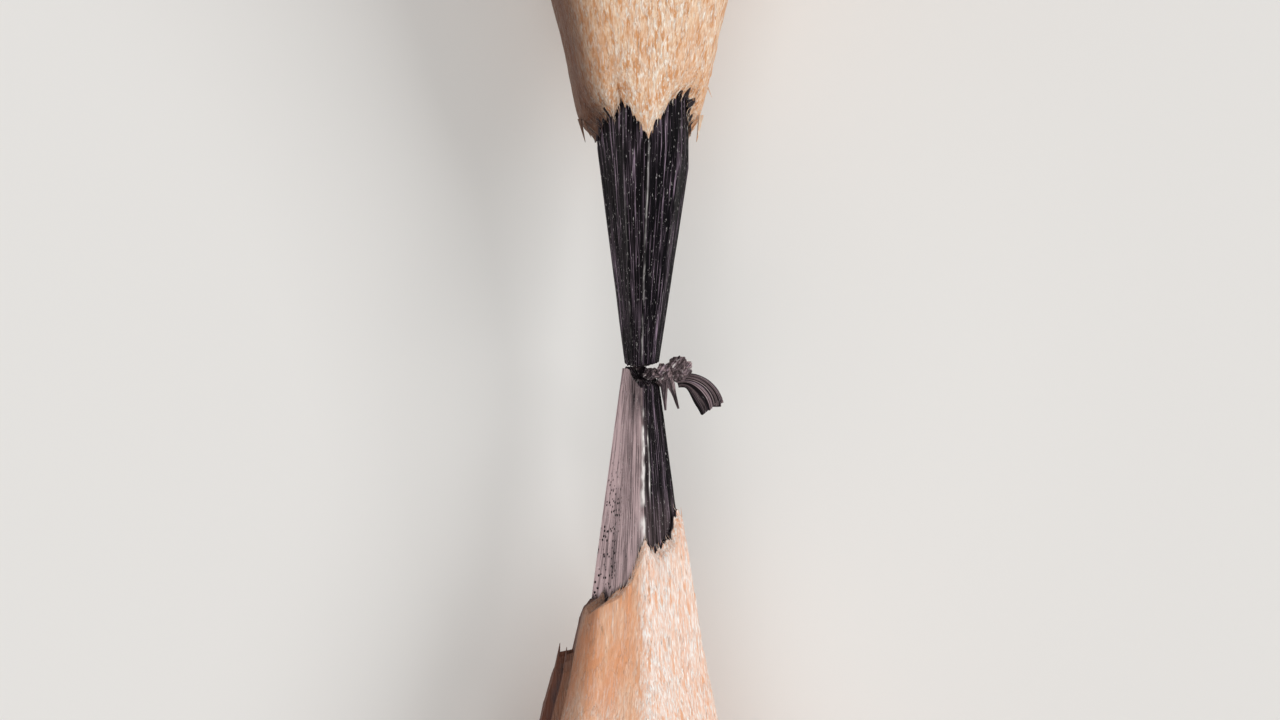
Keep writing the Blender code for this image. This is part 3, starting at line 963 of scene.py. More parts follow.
@dataclass
class Lead:
    """The graphite of one half: whittled where it is bare, round under the wood, broken at its end."""

    half: Half
    columns: int = 360
    crown_rings: int = 22
    bare_rings: int = 234
    covered_rings: int = 6
    covered_start: float = 0.45
    covered_tone: float = 0.08
    rim_roughness: float = 0.035
    crown_bend: float = 1.6
    smooth_below: float = 38.0

    def build(self, finish: bpy.types.Material) -> None:
        """Builds the lead and puts it in the place of its node.

        Args:
            finish: Its material.
        """
        half = self.half
        angles = np.linspace(0.0, 360.0, self.columns, endpoint=False)[None, :]
        rim = around(half.crown, angles)
        ring = half.flow(angles, np.zeros_like(angles))
        rim = rim + self.rim_roughness * noise(ring, (1.0, 6.0, 6.0), half.seed + 5)
        crown, crown_tone, crown_glint = self.crown(angles, rim)
        bare_end = around(half.wood_edge, angles) + self.covered_start
        bare = rim + (bare_end - rim) * np.linspace(0.0, 1.0, self.bare_rings)[:, None]
        radius = half.lead_radius(angles, bare)
        relief, tone, glint, pitted = self.knife_marks(angles, bare, radius)
        side = half.place(angles, bare, radius + relief)
        share = np.linspace(0.0, 1.0, self.covered_rings + 1)[1:, None]
        covered = bare_end + (HALF_LENGTH - bare_end) * share
        full = np.broadcast_to(offset_circle(half.lead_shift, LEAD_RADIUS, angles), covered.shape)
        hidden = half.place(angles, covered, full)
        rings = np.concatenate([crown, side, hidden])
        tones = np.concatenate([crown_tone, tone, np.full(full.shape, self.covered_tone)])
        glints = np.concatenate([crown_glint, glint, np.zeros(full.shape)])
        pits = np.concatenate([np.zeros(crown_tone.shape), pitted, np.zeros(full.shape)])
        setbacks = np.concatenate([np.broadcast_to(rim, crown.shape[:2]), bare, covered])
        flow = half.flow(np.broadcast_to(angles, setbacks.shape), setbacks)
        middle = np.array([0.0, -half.lead_shift, AXIS_HEIGHT])
        front = np.array([half.direction * half.crown_centre, 0.0, AXIS_HEIGHT])
        rear = middle + np.array([half.direction * HALF_LENGTH, 0.0, 0.0])
        shell = tube_shell(rings, front, rear, {"tone": tones, "glint": glints, "pitted": pits, "flow": flow})
        made = shell.to_object(f"{half.name}_whittled_lead", self.smooth_below)
        dress(made, finish, Slot.GRAPHITE, f"{half.name}_lead")

    def crown(self, angles: Array, rim: Array) -> tuple[Array, Array, Array]:
        """The broken end, from its middle out to the rim.

        A share s of the way out, the setback goes from the middle's to the rim's as s to a power, and
        grainy noise roughens it, most of all half way out.

        Args:
            angles: The angles round the axis.
            rim: The rim's setback at each angle.

        Returns:
            Points of the rings, their tone and their glint.
        """
        half = self.half
        share = np.linspace(0.0, 1.0, self.crown_rings + 1)[1:-1, None]
        radius = half.lead_radius(angles, rim) * share
        setback = half.crown_centre + (rim - half.crown_centre) * share**self.crown_bend
        points = half.place(angles, setback, radius)
        rough = 0.07 * noise(points, (9.0, 9.0, 9.0), half.seed + 6)
        rough += 0.035 * noise(points, (21.0, 21.0, 21.0), half.seed + 7)
        points[..., 0] += half.direction * rough * np.sin(np.pi * share) ** 0.5
        crumbly = noise(points, (15.0, 15.0, 15.0), half.seed + 8)
        tone = 0.02 + 0.20 * smooth(0.1, 0.8, crumbly)
        glint = 0.65 * smooth(0.50, 0.75, noise(points, (26.0, 26.0, 26.0), half.seed + 13))
        return points, tone, glint * smooth(0.3, 0.9, share)

    def glint_line(self, line: Glint, flow: Array, angles: Array, radius: Array) -> Array:
        """How bright one ridge's line is: a bell across it, a little wavy, and broken up along it by noise.

        Away from the break the bell's half towards the larger angles can widen.

        Args:
            line: The ridge and how it glints.
            flow: The coordinates that follow the taper, the setback first.
            angles: The angle of each point.
            radius: The distance of each point from the axis.

        Returns:
            The glint, from 0 to 1.
        """
        half = self.half
        setback = flow[..., 0]
        ridge = ridge_angle(half.lead_facets, line.first, line.second) + half.twist * setback
        away = np.radians((angles - ridge + 180.0) % 360.0 - 180.0) * radius
        away = away + 0.010 * noise(flow, (4.0, 1.0, 1.0), half.seed + 16 + line.first)
        broken = smooth(-0.75, 0.25, noise(flow, (3.4, 5.0, 5.0), half.seed + 12 + line.first))
        broken = broken * (0.75 + 0.45 * noise(flow, (11.0, 24.0, 24.0), half.seed + 14 + line.first))
        ends = band((line.start, line.start + 0.4, line.end - 0.6, line.end), setback)
        spread = line.width * (1.0 + line.widening * setback**2 * (away > 0.0))
        return line.strength * ends * broken * np.exp(-((away / spread) ** 2))

    def knife_marks(self, angles: Array, setback: Array, radius: Array) -> tuple[Array, Array, Array, Array]:
        """Scratches along the cut, and how much painted sheen, how bright and how pitted each place is.

        Each facet has its own share of painted sheen, blended across a ridge, and some ridges get painted
        glints. The near half's broad facet has a painted highlight strip along its far side and pits below
        it, and next to the break, towards angle 0, the lead is darker. Along the wood's torn edge it darkens
        too: graphite crumbs, with painted shade under the wood's step.

        Args:
            angles: The angles round the axis.
            setback: The setback of each point.
            radius: The distance of each point from the axis.

        Returns:
            The relief, in mm, the tone, from 0 dark to 1 full painted sheen, the glint and the pitting, from
            0 to 1.
        """
        half = self.half
        flow = half.flow(angles, setback)
        turned = np.broadcast_to(angles, setback.shape)
        _, order, gap = whittle(half.lead_facets, angles - half.twist * setback)
        # Each facet's share of painted sheen, the lamps' highlight, blended across its ridges.
        tones = np.array(half.facet_sheen)
        own = 0.5 + 0.5 * np.clip(gap / 0.025, 0.0, 1.0)
        tone = tones[order[..., 0]] * own + tones[order[..., 1]] * (1.0 - own)
        glint = np.zeros(setback.shape)
        for line in half.glints:
            glint = np.maximum(glint, self.glint_line(line, flow, turned, radius))
        scratches = 0.0045 * noise(flow, (0.4, 20.0, 20.0), half.seed + 9)
        scratches += 0.0035 * noise(flow, (0.9, 41.0, 41.0), half.seed + 10)
        gouges = smooth(0.50, 0.85, noise(flow, (0.30, 13.0, 13.0), half.seed + 11))
        relief = scratches - 0.012 * gouges
        tone = tone * (1.0 - 0.35 * gouges) * (1.0 + 0.20 * noise(flow, (1.2, 6.0, 6.0), half.seed + 15))
        tone = tone * (1.0 + 0.24 * noise(flow, (5.0, 19.0, 19.0), half.seed + 18))
        # Darker along the wood's torn edge: graphite crumbs, with painted shade under the wood's step.
        to_wood = np.abs(half.torn_edge(angles) - setback)
        ragged = 0.105 + 0.050 * noise(flow, (6.0, 17.0, 17.0), half.seed + 17)
        crumbs_and_shade = np.exp(-((to_wood / ragged) ** 2))
        pitted = np.zeros(setback.shape)
        if half is NEAR:
            # A painted highlight strip along the broad facet's far side.
            tone = tone + 0.25 * band(HIGHLIGHT_STRIP_ANGLES, turned) * smooth(0.2, 0.8, setback)
            tone = tone + 0.09 * smooth(2.6, 3.6, setback)
            pitted = smooth(*PITTED_SETBACKS, setback) * band(PITTED_ANGLES, turned)
            # Darker next to the break, towards angle 0.
            darkened = (1.0 - smooth(*DARKENED_SETBACKS, setback)) * (1.0 - smooth(*DARKENED_ANGLES, turned))
            darkened = darkened * (0.45 + 0.55 * smooth(-0.4, 0.4, noise(flow, (3.0, 9.0, 9.0), 92)))
            tone = tone * (1.0 - 0.85 * darkened)
        return relief * smooth(-0.1, 0.25, setback), tone * (1.0 - 0.93 * crumbs_and_shade), glint * (1.0 - crumbs_and_shade), pitted


@dataclass
class Slat:
    """One glued slat of one half: whittled and torn in front, half a hexagon behind, with the lead's groove.

    Attributes:
        half: The half of the pencil that it belongs to.
        side: Which of the half's two slats it is.
        columns: Points round its outer face.
        dense_rings: Rings that follow the torn edge.
        rear_rings: Rings behind them.
        dense_length: How far back the rings next to the torn edge reach.
        dense_spread: The power by which those rings spread out.
        rear_spread: The same for the rings behind them.
        end_length: Over which length the last rings draw together.
        smooth_below: Edges that turn by less than this many degrees are shaded smooth.
        fibre_count: Lifted fibres on the outer face.
        frayed_count: Fibres that stand out from the torn edge.
        fray_rings: Rings of such a fibre.
        fray_sides: Points in each of its rings.
        bore_steps: How far behind the torn edge the groove's rings lie.
    """

    half: Half
    side: Side
    columns: int = 216
    dense_rings: int = 190
    rear_rings: int = 96
    dense_length: float = 6.2
    dense_spread: float = 1.15
    rear_spread: float = 1.7
    end_length: float = 0.5
    smooth_below: float = 34.0
    fibre_count: int = 190
    frayed_count: int = 70
    fray_rings: int = 9
    fray_sides: int = 6
    bore_steps: tuple[float, ...] = (0.0, 0.05, 0.10, 0.16, 0.23, 0.31, 0.40, 5.0)

    def build(self, finish: bpy.types.Material) -> None:
        """Builds the slat and puts it in the place of its node.

        Args:
            finish: Its material.
        """
        half = self.half
        base = 0.0 if self.side is Side.TOP else 180.0
        angles = base + np.linspace(0.0, 180.0, self.columns)[None, :]
        edge = half.torn_edge(angles)
        setback = self.stations(edge)
        outer, marks = self.outer_surface(angles, setback, edge)
        steps = np.array(self.bore_steps)[:, None]
        bore_setback = np.concatenate([edge + steps, np.full(edge.shape, HALF_LENGTH)])
        inner = half.place(angles, bore_setback, half.bore_radius(angles, bore_setback))
        fibres = [*self.frayed_fibres(angles), *self.long_splinters(angles)]
        shell = merged([self.sew(outer, inner, marks), *fibres])
        word = self.side.name.lower()
        made = shell.to_object(f"{half.name}_{word}_torn_slat", self.smooth_below)
        dress(made, finish, Slot.CEDAR, f"{half.name}_{word}_slat")

    def stations(self, edge: Array) -> Array:
        """Setbacks of the rings: they follow the torn edge, straighten out, and spread towards the rear.

        Args:
            edge: The torn edge's setback.

        Returns:
            The setback of each ring at each angle.
        """
        dense = np.linspace(0.0, 1.0, self.dense_rings)[:, None] ** self.dense_spread
        straight = edge.min() + self.dense_length
        front = edge + (straight - edge) * dense
        spread = np.linspace(0.0, 1.0, self.rear_rings + 1)[1:, None] ** self.rear_spread
        rear = straight + (HALF_LENGTH - straight) * spread
        near_end = np.clip((HALF_LENGTH - rear) / self.end_length, 0.0, 1.0)
        rear = np.where(near_end < 1.0, HALF_LENGTH - self.end_length * near_end**2, rear)
        return np.concatenate([front, np.broadcast_to(rear, (self.rear_rings, edge.shape[1]))])

    def outer_surface(self, angles: Array, setback: Array, edge: Array) -> tuple[Array, dict[str, Array]]:
        """The whittled face and the barrel, with grain and torn fibres standing on them.

        The radius is the lesser of the whittled one and the barrel's, a hexagon whose corners a circle
        rounds.

        Args:
            angles: The angles round the axis.
            setback: The setback of each point.
            edge: The torn edge's setback.

        Returns:
            The points, and the marks of paleness with painted light, smudge with painted shade, barrel and
            shade.
        """
        half = self.half
        whittled = half.wood_radius(angles, setback)
        hexagon = np.minimum(whittle(BARREL_FACETS, angles)[0], BARREL_CORNER_RADIUS)
        from_end = np.clip((HALF_LENGTH - setback) / END_ROUNDING, 0.0, 1.0)
        barrel_radius = hexagon - END_ROUNDING * (1.0 - np.sqrt(1.0 - (1.0 - from_end) ** 2))
        barrel = smooth(-0.02, 0.02, whittled - barrel_radius)
        radius = np.minimum(whittled, barrel_radius)
        points = half.place(angles, setback, radius)
        behind = setback - edge
        grain = 0.011 * noise(points, (0.5, 7.0, 7.0), half.seed + 20)
        grain += 0.009 * noise(points, (1.3, 19.0, 19.0), half.seed + 21)
        torn = 0.030 * noise(points, (1.6, 13.0, 13.0), half.seed + 22) * np.exp(-behind / 0.5)
        fibres = self.torn_fibres(angles, setback)
        raised = (grain + torn + fibres) * smooth(0.0, 0.12, behind) * (1.0 - 0.85 * barrel)
        points = self.above_glue(half.place(angles, setback, np.minimum(radius + raised, barrel_radius)))
        return points, self.marks(angles, setback, behind, barrel)

    def torn_fibres(self, angles: Array, setback: Array) -> Array:
        """Height of single fibres that the knife lifted: a rounded rib each, highest at its torn front.

        Args:
            angles: The angles round the axis.
            setback: The setback of each point.

        Returns:
            The height above the cut face.
        """
        half = self.half
        dice = np.random.default_rng(half.seed * 7 + (self.side is Side.TOP))
        height = np.zeros(setback.shape)
        turned = np.broadcast_to(angles, setback.shape)
        for _ in range(self.fibre_count):
            facing = dice.uniform(angles.min(), angles.max())
            front = dice.uniform(3.5, 12.0)
            length = dice.uniform(0.25, 1.3)
            width = dice.uniform(0.7, 1.5)
            lift = dice.uniform(0.010, 0.034)
            share = (setback - front) / length
            inside = (share > 0.0) & (share < 1.0)
            rib = np.exp(-(((turned - facing - 0.8 * share) / width) ** 2))
            height = np.maximum(height, lift * rib * (1.0 - share) * inside * smooth(0.0, 0.08, share))
        return height

    def frayed_fibres(self, angles: Array) -> list[Shell]:
        """Single fibres that stand out from the torn edge and lie down on the lead in front of it.

        Args:
            angles: The angles that the slat spans.

        Returns:
            The fibres.
        """
        half = self.half
        dice = np.random.default_rng(half.seed * 5 + (self.side is Side.TOP))
        count = self.frayed_count
        facing = dice.uniform(angles.min() + 2.0, angles.max() - 2.0, count)[:, None]
        reach = dice.uniform(0.03, 0.17, count)[:, None]
        width = dice.uniform(0.014, 0.032, count)[:, None]
        share = np.linspace(0.0, 1.0, self.fray_rings)[None, :]
        end = half.torn_edge(facing)
        setback = end - reach + (reach + 0.20) * share
        turned = facing + dice.uniform(-2.5, 2.5, count)[:, None] * (1.0 - share)
        on_lead = half.lead_radius(turned, setback) + 0.010
        on_wood = half.wood_radius(turned, np.maximum(setback, end))
        radius = on_lead + (on_wood - on_lead) * smooth(-0.06, 0.05, setback - end)
        taper = width * np.clip(share * 1.6 + 0.08, 0.0, 1.0)
        paths = half.place(turned, setback, radius)
        shades = 0.1 + 0.8 * around(half.shades, facing[:, 0])
        return [self.fibre(path, across, shade) for path, across, shade in zip(paths, taper, shades)]

    def long_splinters(self, angles: Array) -> list[Shell]:
        """The few long splinters of this half that start on this slat, each a straight taper to its tip.

        Args:
            angles: The angles that the slat spans.

        Returns:
            The splinters.
        """
        made = []
        for base, back, out, tip, ahead, up, width in self.half.splinters:
            if not angles.min() <= base % 360.0 <= angles.max():
                continue
            share = np.linspace(0.0, 1.0, self.fray_rings)
            turned = tip + (base - tip) * share
            path = self.half.place(turned, ahead + (back - ahead) * share, up + (out - up) * share)
            shade = float(around(self.half.shades, np.array(base)))
            made.append(self.fibre(path, width * (0.10 + 0.90 * share), shade))
        return made

    def fibre(self, path: Array, width: Array, shade: float) -> Shell:
        """A pointed fibre: a round ring across the grain at each point of its path.

        Args:
            path: The points along it, from its tip.
            width: Its width at each of them.
            shade: How shaded it is.

        Returns:
            The closed surface.
        """
        turn = np.linspace(0.0, 2.0 * np.pi, self.fray_sides, endpoint=False)
        ring = stacked(0.0, np.cos(turn), np.sin(turn))
        rings = path[:, None, :] + width[:, None, None] / 2 * ring[None, :, :]
        plain = np.ones(rings.shape[:2])
        marks = {"tint": 0.8 * plain, "smudge": 0.15 * plain, "barrel": 0.0 * plain, "shade": shade * plain}
        return tube_shell(rings, path[0], path[-1], marks)

    def above_glue(self, points: Array) -> Array:
        """Keeps the slat on its own side of the glue line.

        Args:
            points: Points of the slat, as x, y, z. Those past its limit are moved.

        Returns:
            The same points.
        """
        limit = AXIS_HEIGHT + self.side.value * GLUE_LINE / 2
        clamp = np.maximum if self.side is Side.TOP else np.minimum
        points[..., 2] = clamp(points[..., 2], limit)
        return points

    def marks(self, angles: Array, setback: Array, behind: Array, barrel: Array) -> dict[str, Array]:
        """How pale, partly with painted light, how smudged with graphite, partly with painted shade, how
        sealed and how shaded each place is.

        Each knife facet has its own paleness, partly painted light, blended over a ridge and a little past
        it. Smudges fade with the distance from the torn edge, and noise breaks both up. A thin line right at
        the torn edge and the ledge's crack are darkened as painted shade.

        Args:
            angles: The angles round the axis.
            setback: The setback of each point.
            behind: The distance behind the torn edge.
            barrel: Where the barrel's own face is left, from 0 to 1.

        Returns:
            The marks, under their names.
        """
        half = self.half
        flow = half.flow(angles, setback)
        # Each facet's paleness: partly the wood's own colour, partly painted light on the facets that face
        # the lamps.
        _, order, gap = whittle(half.wood_facets, angles + 0.0 * setback - 5.0)
        tints_and_light = np.array(half.wood_tints_and_light)
        own = smooth(-0.20, 0.20, gap)
        tint = tints_and_light[order[..., 0]] * own + tints_and_light[order[..., 1]] * (1.0 - own)
        tint = tint + 0.30 * noise(flow, (0.5, 3.5, 3.5), half.seed + 30)
        turned = np.broadcast_to(angles, setback.shape)
        strength = around(half.smudges, turned)
        reach = 0.12 + 0.26 * strength * (1.0 + noise(flow, (1.0, 7.0, 7.0), half.seed + 31))
        smudge = 0.78 * strength * np.exp(-behind / reach)
        smudge = smudge * (0.70 + 0.30 * noise(flow, (3.0, 13.0, 13.0), half.seed + 32))
        # A thin near-black line right at the torn edge: painted shade under the wood's step.
        smudge = np.maximum(smudge, 0.85 * np.exp(-((behind / 0.020) ** 2)))
        # The crack between the ledge's two layers: painted shade, through the shade and smudge marks.
        crack_shade = half.ledge_crack_shade(angles, setback)
        shade = np.maximum(around(half.shades, turned), crack_shade) * (1.0 - barrel)
        tint = np.clip(tint, 0.0, 1.0) * (1.0 - barrel) + 0.35 * barrel
        smudge = np.clip(np.maximum(smudge, 0.8 * crack_shade), 0.0, 1.0) * (1.0 - barrel)
        return {"tint": tint, "smudge": smudge, "barrel": barrel, "shade": shade}

    def sew(self, outer: Array, inner: Array, marks: dict[str, Array]) -> Shell:
        """Joins the outer face and the groove along the torn edge, the rear end and the two glued faces.

        Args:
            outer: Points of the outer face, as (ring, place round it, xyz).
            inner: Points of the groove, in the same manner.
            marks: Numbers at each point of the outer face.

        Returns:
            The closed surface.
        """
        inner = self.above_glue(inner)
        rows, columns = outer.shape[:2]
        depth = inner.shape[0]
        start = rows * columns
        outside = np.arange(start).reshape(rows, columns)
        inside = np.arange(depth * columns).reshape(depth, columns) + start
        strips = [grid_faces(rows, columns, False), grid_faces(depth, columns, False, start)[:, ::-1]]
        for ring, inner_ring, turned in ((outside[0], inside[0], True), (outside[-1], inside[-1], False)):
            strip = np.stack([ring[:-1], ring[1:], inner_ring[1:], inner_ring[:-1]], axis=-1)
            strips.append(strip[:, ::-1] if turned else strip)
        faces = [np.concatenate(strips)]
        for column, turned in ((0, False), (-1, True)):
            side = np.concatenate([outside[:, column], inside[::-1, column]])[None, :]
            faces.append(side[:, ::-1] if turned else side)
        points = np.concatenate([outer.reshape(-1, 3), inner.reshape(-1, 3)])
        kept = {}
        for mark, values in marks.items():
            groove = np.full((depth, columns), GROOVE_MARKS[mark])
            groove[-1] = REAR_MARKS[mark]
            kept[mark] = np.concatenate([values.ravel(), groove.ravel()])
        return Shell(points, faces, kept).outwards()


@dataclass
class Crumb:
    """A crumb of graphite at the break: cleaved flat on many sides, with smaller bits stuck to it."""

    name: str
    centre: tuple[float, float, float]
    size: tuple[float, float, float]
    seed: int
    tone: float
    bits: int = 9
    cuts: int = 11
    core_share: float = 0.84
    core_grid: tuple[int, int] = (60, 96)
    bit_grid: tuple[int, int] = (26, 40)
    smooth_below: float = 24.0

    def build(self, finish: bpy.types.Material) -> None:
        """Builds the crumb and puts it in the place of its node.

        Args:
            finish: Its material.
        """
        dice = np.random.default_rng(self.seed + 100)
        centre = np.array(self.centre)
        size = np.array(self.size)
        shells = [self.lump(centre, size * self.core_share, self.seed, self.tone, *self.core_grid)]
        for number in range(self.bits):
            away = dice.normal(size=3)
            away = away / np.linalg.norm(away) * np.array([0.36, 0.38, 0.32])
            part = dice.uniform(0.26, 0.44)
            stretched = size * part * np.array([dice.uniform(0.5, 1.1), dice.uniform(1.0, 2.0), 0.8])
            tone = self.tone * dice.uniform(0.5, 2.0)
            seed = self.seed * 31 + number
            shells.append(self.lump(centre + away * size, stretched, seed, tone, *self.bit_grid))
        made = merged(shells).to_object(f"{self.name}_cleaved", self.smooth_below)
        dress(made, finish, Slot.GRAPHITE, self.name)

    def lump(self, centre: Array, size: Array, seed: int, tone: float, rows: int, columns: int) -> Shell:
        """One cleaved solid: points along rays from its middle, out to the nearest of many random flat cuts.

        Args:
            centre: Its middle.
            size: Its size along x, y and z.
            seed: Which random cuts.
            tone: How burnished its cuts are on average.
            rows: Rings of rays from pole to pole.
            columns: Rays in a ring.

        Returns:
            The closed surface.
        """
        tilt = np.linspace(0.0, np.pi, rows + 2)[:, None]
        turn = np.linspace(0.0, 2.0 * np.pi, columns, endpoint=False)[None, :]
        rays = stacked(np.cos(tilt), np.sin(tilt) * np.cos(turn), np.sin(tilt) * np.sin(turn))
        dice = np.random.default_rng(seed)
        facing = dice.normal(size=(self.cuts, 3))
        facing /= np.linalg.norm(facing, axis=1, keepdims=True)
        distance = dice.uniform(0.58, 1.0, self.cuts)
        lean = rays @ facing.T
        reach = np.where(lean > 0.1, distance / np.maximum(lean, 0.1), 9.0)
        cut = reach.argmin(axis=-1)
        layered = 0.06 * noise(rays, (3.0, 13.0, 3.0), seed) + 0.05 * noise(rays, (9.0, 9.0, 9.0), seed + 1)
        points = rays * (np.minimum(reach.min(axis=-1), 1.25) * (1.0 + layered))[..., None]
        points = np.clip(points, -1.0, 1.0) * size / 2 + centre
        bright = 0.35 + 1.9 * dice.uniform(0.0, 1.0, self.cuts) ** 2
        tones = tone * bright[cut] * (0.8 + 0.4 * noise(rays, (5.0, 5.0, 5.0), seed + 2))
        flow = points @ np.array([[0.75, 0.5, 0.2], [-0.6, 0.75, 0.1], [-0.2, -0.2, 0.95]])
        glint = 0.70 * smooth(0.45, 0.75, noise(flow, (5.0, 23.0, 23.0), seed + 3))
        marks = {"tone": np.clip(tones, 0.0, 1.0)[1:-1], "glint": glint[1:-1], "flow": flow[1:-1]}
        return tube_shell(points[1:-1], points[0, 0], points[-1, 0], marks)


@dataclass
class Flake:
    """The flake that peeled off in a fan: a thin ridged band that widens as it bends a quarter turn."""

    root: tuple[float, float, float]
    radius: float = 0.675
    root_width: float = 0.34
    end_width: float = 0.54
    thickness: float = 0.045
    sag: float = 0.10
    dish: float = 0.17
    tucked: float = 0.17
    rows: int = 180
    columns: int = 90
    smooth_below: float = 40.0

    def build(self, finish: bpy.types.Material) -> None:
        """Builds the flake and puts it in the place of its node.

        Args:
            finish: Its material.
        """
        side = np.linspace(-0.5, 0.5, self.columns)[None, :]
        share = np.linspace(0.0, 1.0, self.rows)[:, None]
        upper, along = self.face(share, side, 1.0)
        lower, _ = self.face(share, side, -1.0)
        loop = np.concatenate([upper, lower[:, ::-1]], axis=1)
        both_sides = np.concatenate([side, side[:, ::-1]], axis=1)
        flow = stacked(np.concatenate([along, along[:, ::-1]], axis=1), both_sides, 0.0)
        bands = noise(flow, (0.5, 15.0, 1.0), 61) + 0.7 * noise(flow, (1.0, 34.0, 1.0), 62)
        tone = 0.02 + 0.38 * smooth(-0.10, 0.45, bands) * (0.7 + 0.6 * (both_sides + 0.5))
        glint = 0.50 * smooth(0.45, 0.85, bands) * smooth(0.25, 0.8, share)
        marks = {"tone": tone, "glint": glint, "flow": flow}
        shell = tube_shell(loop, loop[0].mean(axis=0), loop[-1].mean(axis=0), marks)
        made = shell.to_object("curled_flake_ridged", self.smooth_below)
        dress(made, finish, Slot.GRAPHITE, "curled_flake")

    def face(self, share: Array, side: Array, sign: float) -> tuple[Array, Array]:
        """One face of the band: a quarter circle, ragged at its end, with ridges along it.

        Towards the inside the band bends less, so that it lies straighter there and ends further down.

        Args:
            share: How far along the band, from 0 to 1.
            side: How far across it, from -0.5 inside to 0.5 outside.
            sign: 1 for the upper face and -1 for the lower one.

        Returns:
            The points, and the distance along the band.
        """
        across = stacked(side, 0.0, 0.0)
        ragged = 0.07 * noise(across, (9.0, 1.0, 1.0), 63) + 0.06 * noise(across, (25.0, 1.0, 1.0), 64)
        reach = share * (0.95 + self.tucked - 0.10 * np.abs(side) + ragged) - self.tucked
        turn = np.radians(90.0 * (1.0 - reach))
        width = self.root_width + (self.end_width - self.root_width) * reach
        radius = self.radius + side * width
        ridges = 0.020 * noise(across, (13.0, 1.0, 1.0), 65) + 0.010 * noise(across, (31.0, 1.0, 1.0), 66)
        drop = self.sag * np.maximum(reach, 0.0) ** 2 + self.dish * side**2 - ridges
        drop = drop - sign * self.thickness / 2
        middle = np.array(self.root) - np.array([self.radius, 0.0, 0.0])
        points = stacked(radius * np.sin(turn), -radius * np.cos(turn), -drop) + middle
        inside = np.clip(-2.0 * side, 0.0, 1.0) + 0.0 * reach
        points[..., 0] -= 0.18 * inside * smooth(0.0, 0.6, reach)
        points[..., 1] += 0.10 * inside * np.sin(np.pi * np.clip(reach, 0.0, 1.0))
        return points, radius * reach


@dataclass
class Sliver:
    """A thin splinter of graphite that hangs from the crumbs: a flattened taper, a little bent."""

    name: str
    top: tuple[float, float, float]
    lean: float
    seed: int
    length: float = 0.58
    width: float = 0.18
    tip_width: float = 0.05
    flatness: float = 0.7
    tucked: float = 0.32
    rows: int = 70
    columns: int = 30
    smooth_below: float = 30.0

    def build(self, finish: bpy.types.Material) -> None:
        """Builds the sliver and puts it in the place of its node.

        Args:
            finish: Its material.
        """
        share = np.linspace(-self.tucked, 1.0, self.rows)[:, None]
        turn = np.linspace(0.0, 2.0 * np.pi, self.columns, endpoint=False)[None, :]
        width = self.width + (self.tip_width - self.width) * np.clip(share, 0.0, 1.0) ** 0.8
        ring = stacked(share * 2.0, np.cos(turn), np.sin(turn))
        rough = 1.0 + 0.22 * noise(ring, (1.2, 2.6, 2.6), self.seed)
        across = width / 2 * np.cos(turn) * rough
        up = width / 2 * self.flatness * np.sin(turn) * rough + 0.02 * np.sin(3.0 * share)
        lean = np.radians(self.lean)
        back = -share * self.length
        ahead = back * np.cos(lean) - across * np.sin(lean)
        aside = back * np.sin(lean) + across * np.cos(lean)
        points = stacked(ahead, aside, up) + np.array(self.top)
        flow = stacked(share * self.length, across * 3.0, up * 3.0)
        tone = 0.12 + 0.60 * smooth(-0.2, 0.5, noise(ring, (0.8, 3.0, 3.0), self.seed + 1))
        middle = points.mean(axis=1)
        marks = {"tone": tone, "glint": 0.0 * tone, "flow": flow}
        shell = tube_shell(points, middle[0], middle[-1], marks)
        made = shell.to_object(f"{self.name}_splintered", self.smooth_below)
        dress(made, finish, Slot.GRAPHITE, self.name)


@dataclass
class Debris:
    """Everything that clings to the break: three crumbs in a row, the curled flake and two slivers."""

    depth: float = 0.42
    clearance: float = 0.02
    spread: float = 1.46
    overlap: float = 0.10
    flake_root: float = -0.20
    sliver_start: float = 0.15
    crumbs: tuple[tuple[str, int, float], ...] = (
        ("inner_crumb", 3, 0.24), ("middle_crumb", 8, 0.34), ("outer_crumb", 17, 0.36),
    )
    sliver_leans: tuple[float, ...] = (3.5, 17.0)

    @staticmethod
    def corners(name: str) -> tuple[Array, Array]:
        """The lowest and highest corner of a node's box, in mm."""
        low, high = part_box(name)
        return np.array(low) / METRES, np.array(high) / METRES

    def build(self, finish: bpy.types.Material) -> None:
        """Builds each piece where its node is.

        Args:
            finish: Their material.
        """
        for name, seed, tone in self.crumbs:
            low, high = self.corners(name)
            Crumb(name, tuple((low + high) / 2), tuple((high - low) * self.spread), seed, tone).build(finish)
        low, _ = self.corners("outer_crumb")
        shelf = AXIS_HEIGHT + self.depth / 2
        Flake((self.flake_root, float(low[1]) - self.clearance + self.overlap, shelf)).build(finish)
        for number, lean in enumerate(self.sliver_leans, 1):
            name = f"hanging_sliver_{number}"
            _, high = self.corners(name)
            top = (float(high[0]), float(high[1]) - self.sliver_start, shelf)
            Sliver(name, top, lean, 40 + number).build(finish)


@dataclass(frozen=True)
class Softbox:
    """A lamp that faces the break: its place and its two sides in metres, and its power in watts."""

    name: str
    place: tuple[float, float, float]
    size: tuple[float, float]
    power: float

    def build(self) -> None:
        """Builds the lamp, which the camera doesn't see."""
        light = bpy.data.lights.new(self.name, "AREA")
        light.shape = "RECTANGLE"
        light.size, light.size_y = self.size
        light.energy = self.power
        made = bpy.data.objects.new(self.name, light)
        made.location = self.place
        made.rotation_euler = (-made.location).to_track_quat("-Z", "Y").to_euler()
        made.visible_camera = False
        bpy.context.scene.collection.objects.link(made)


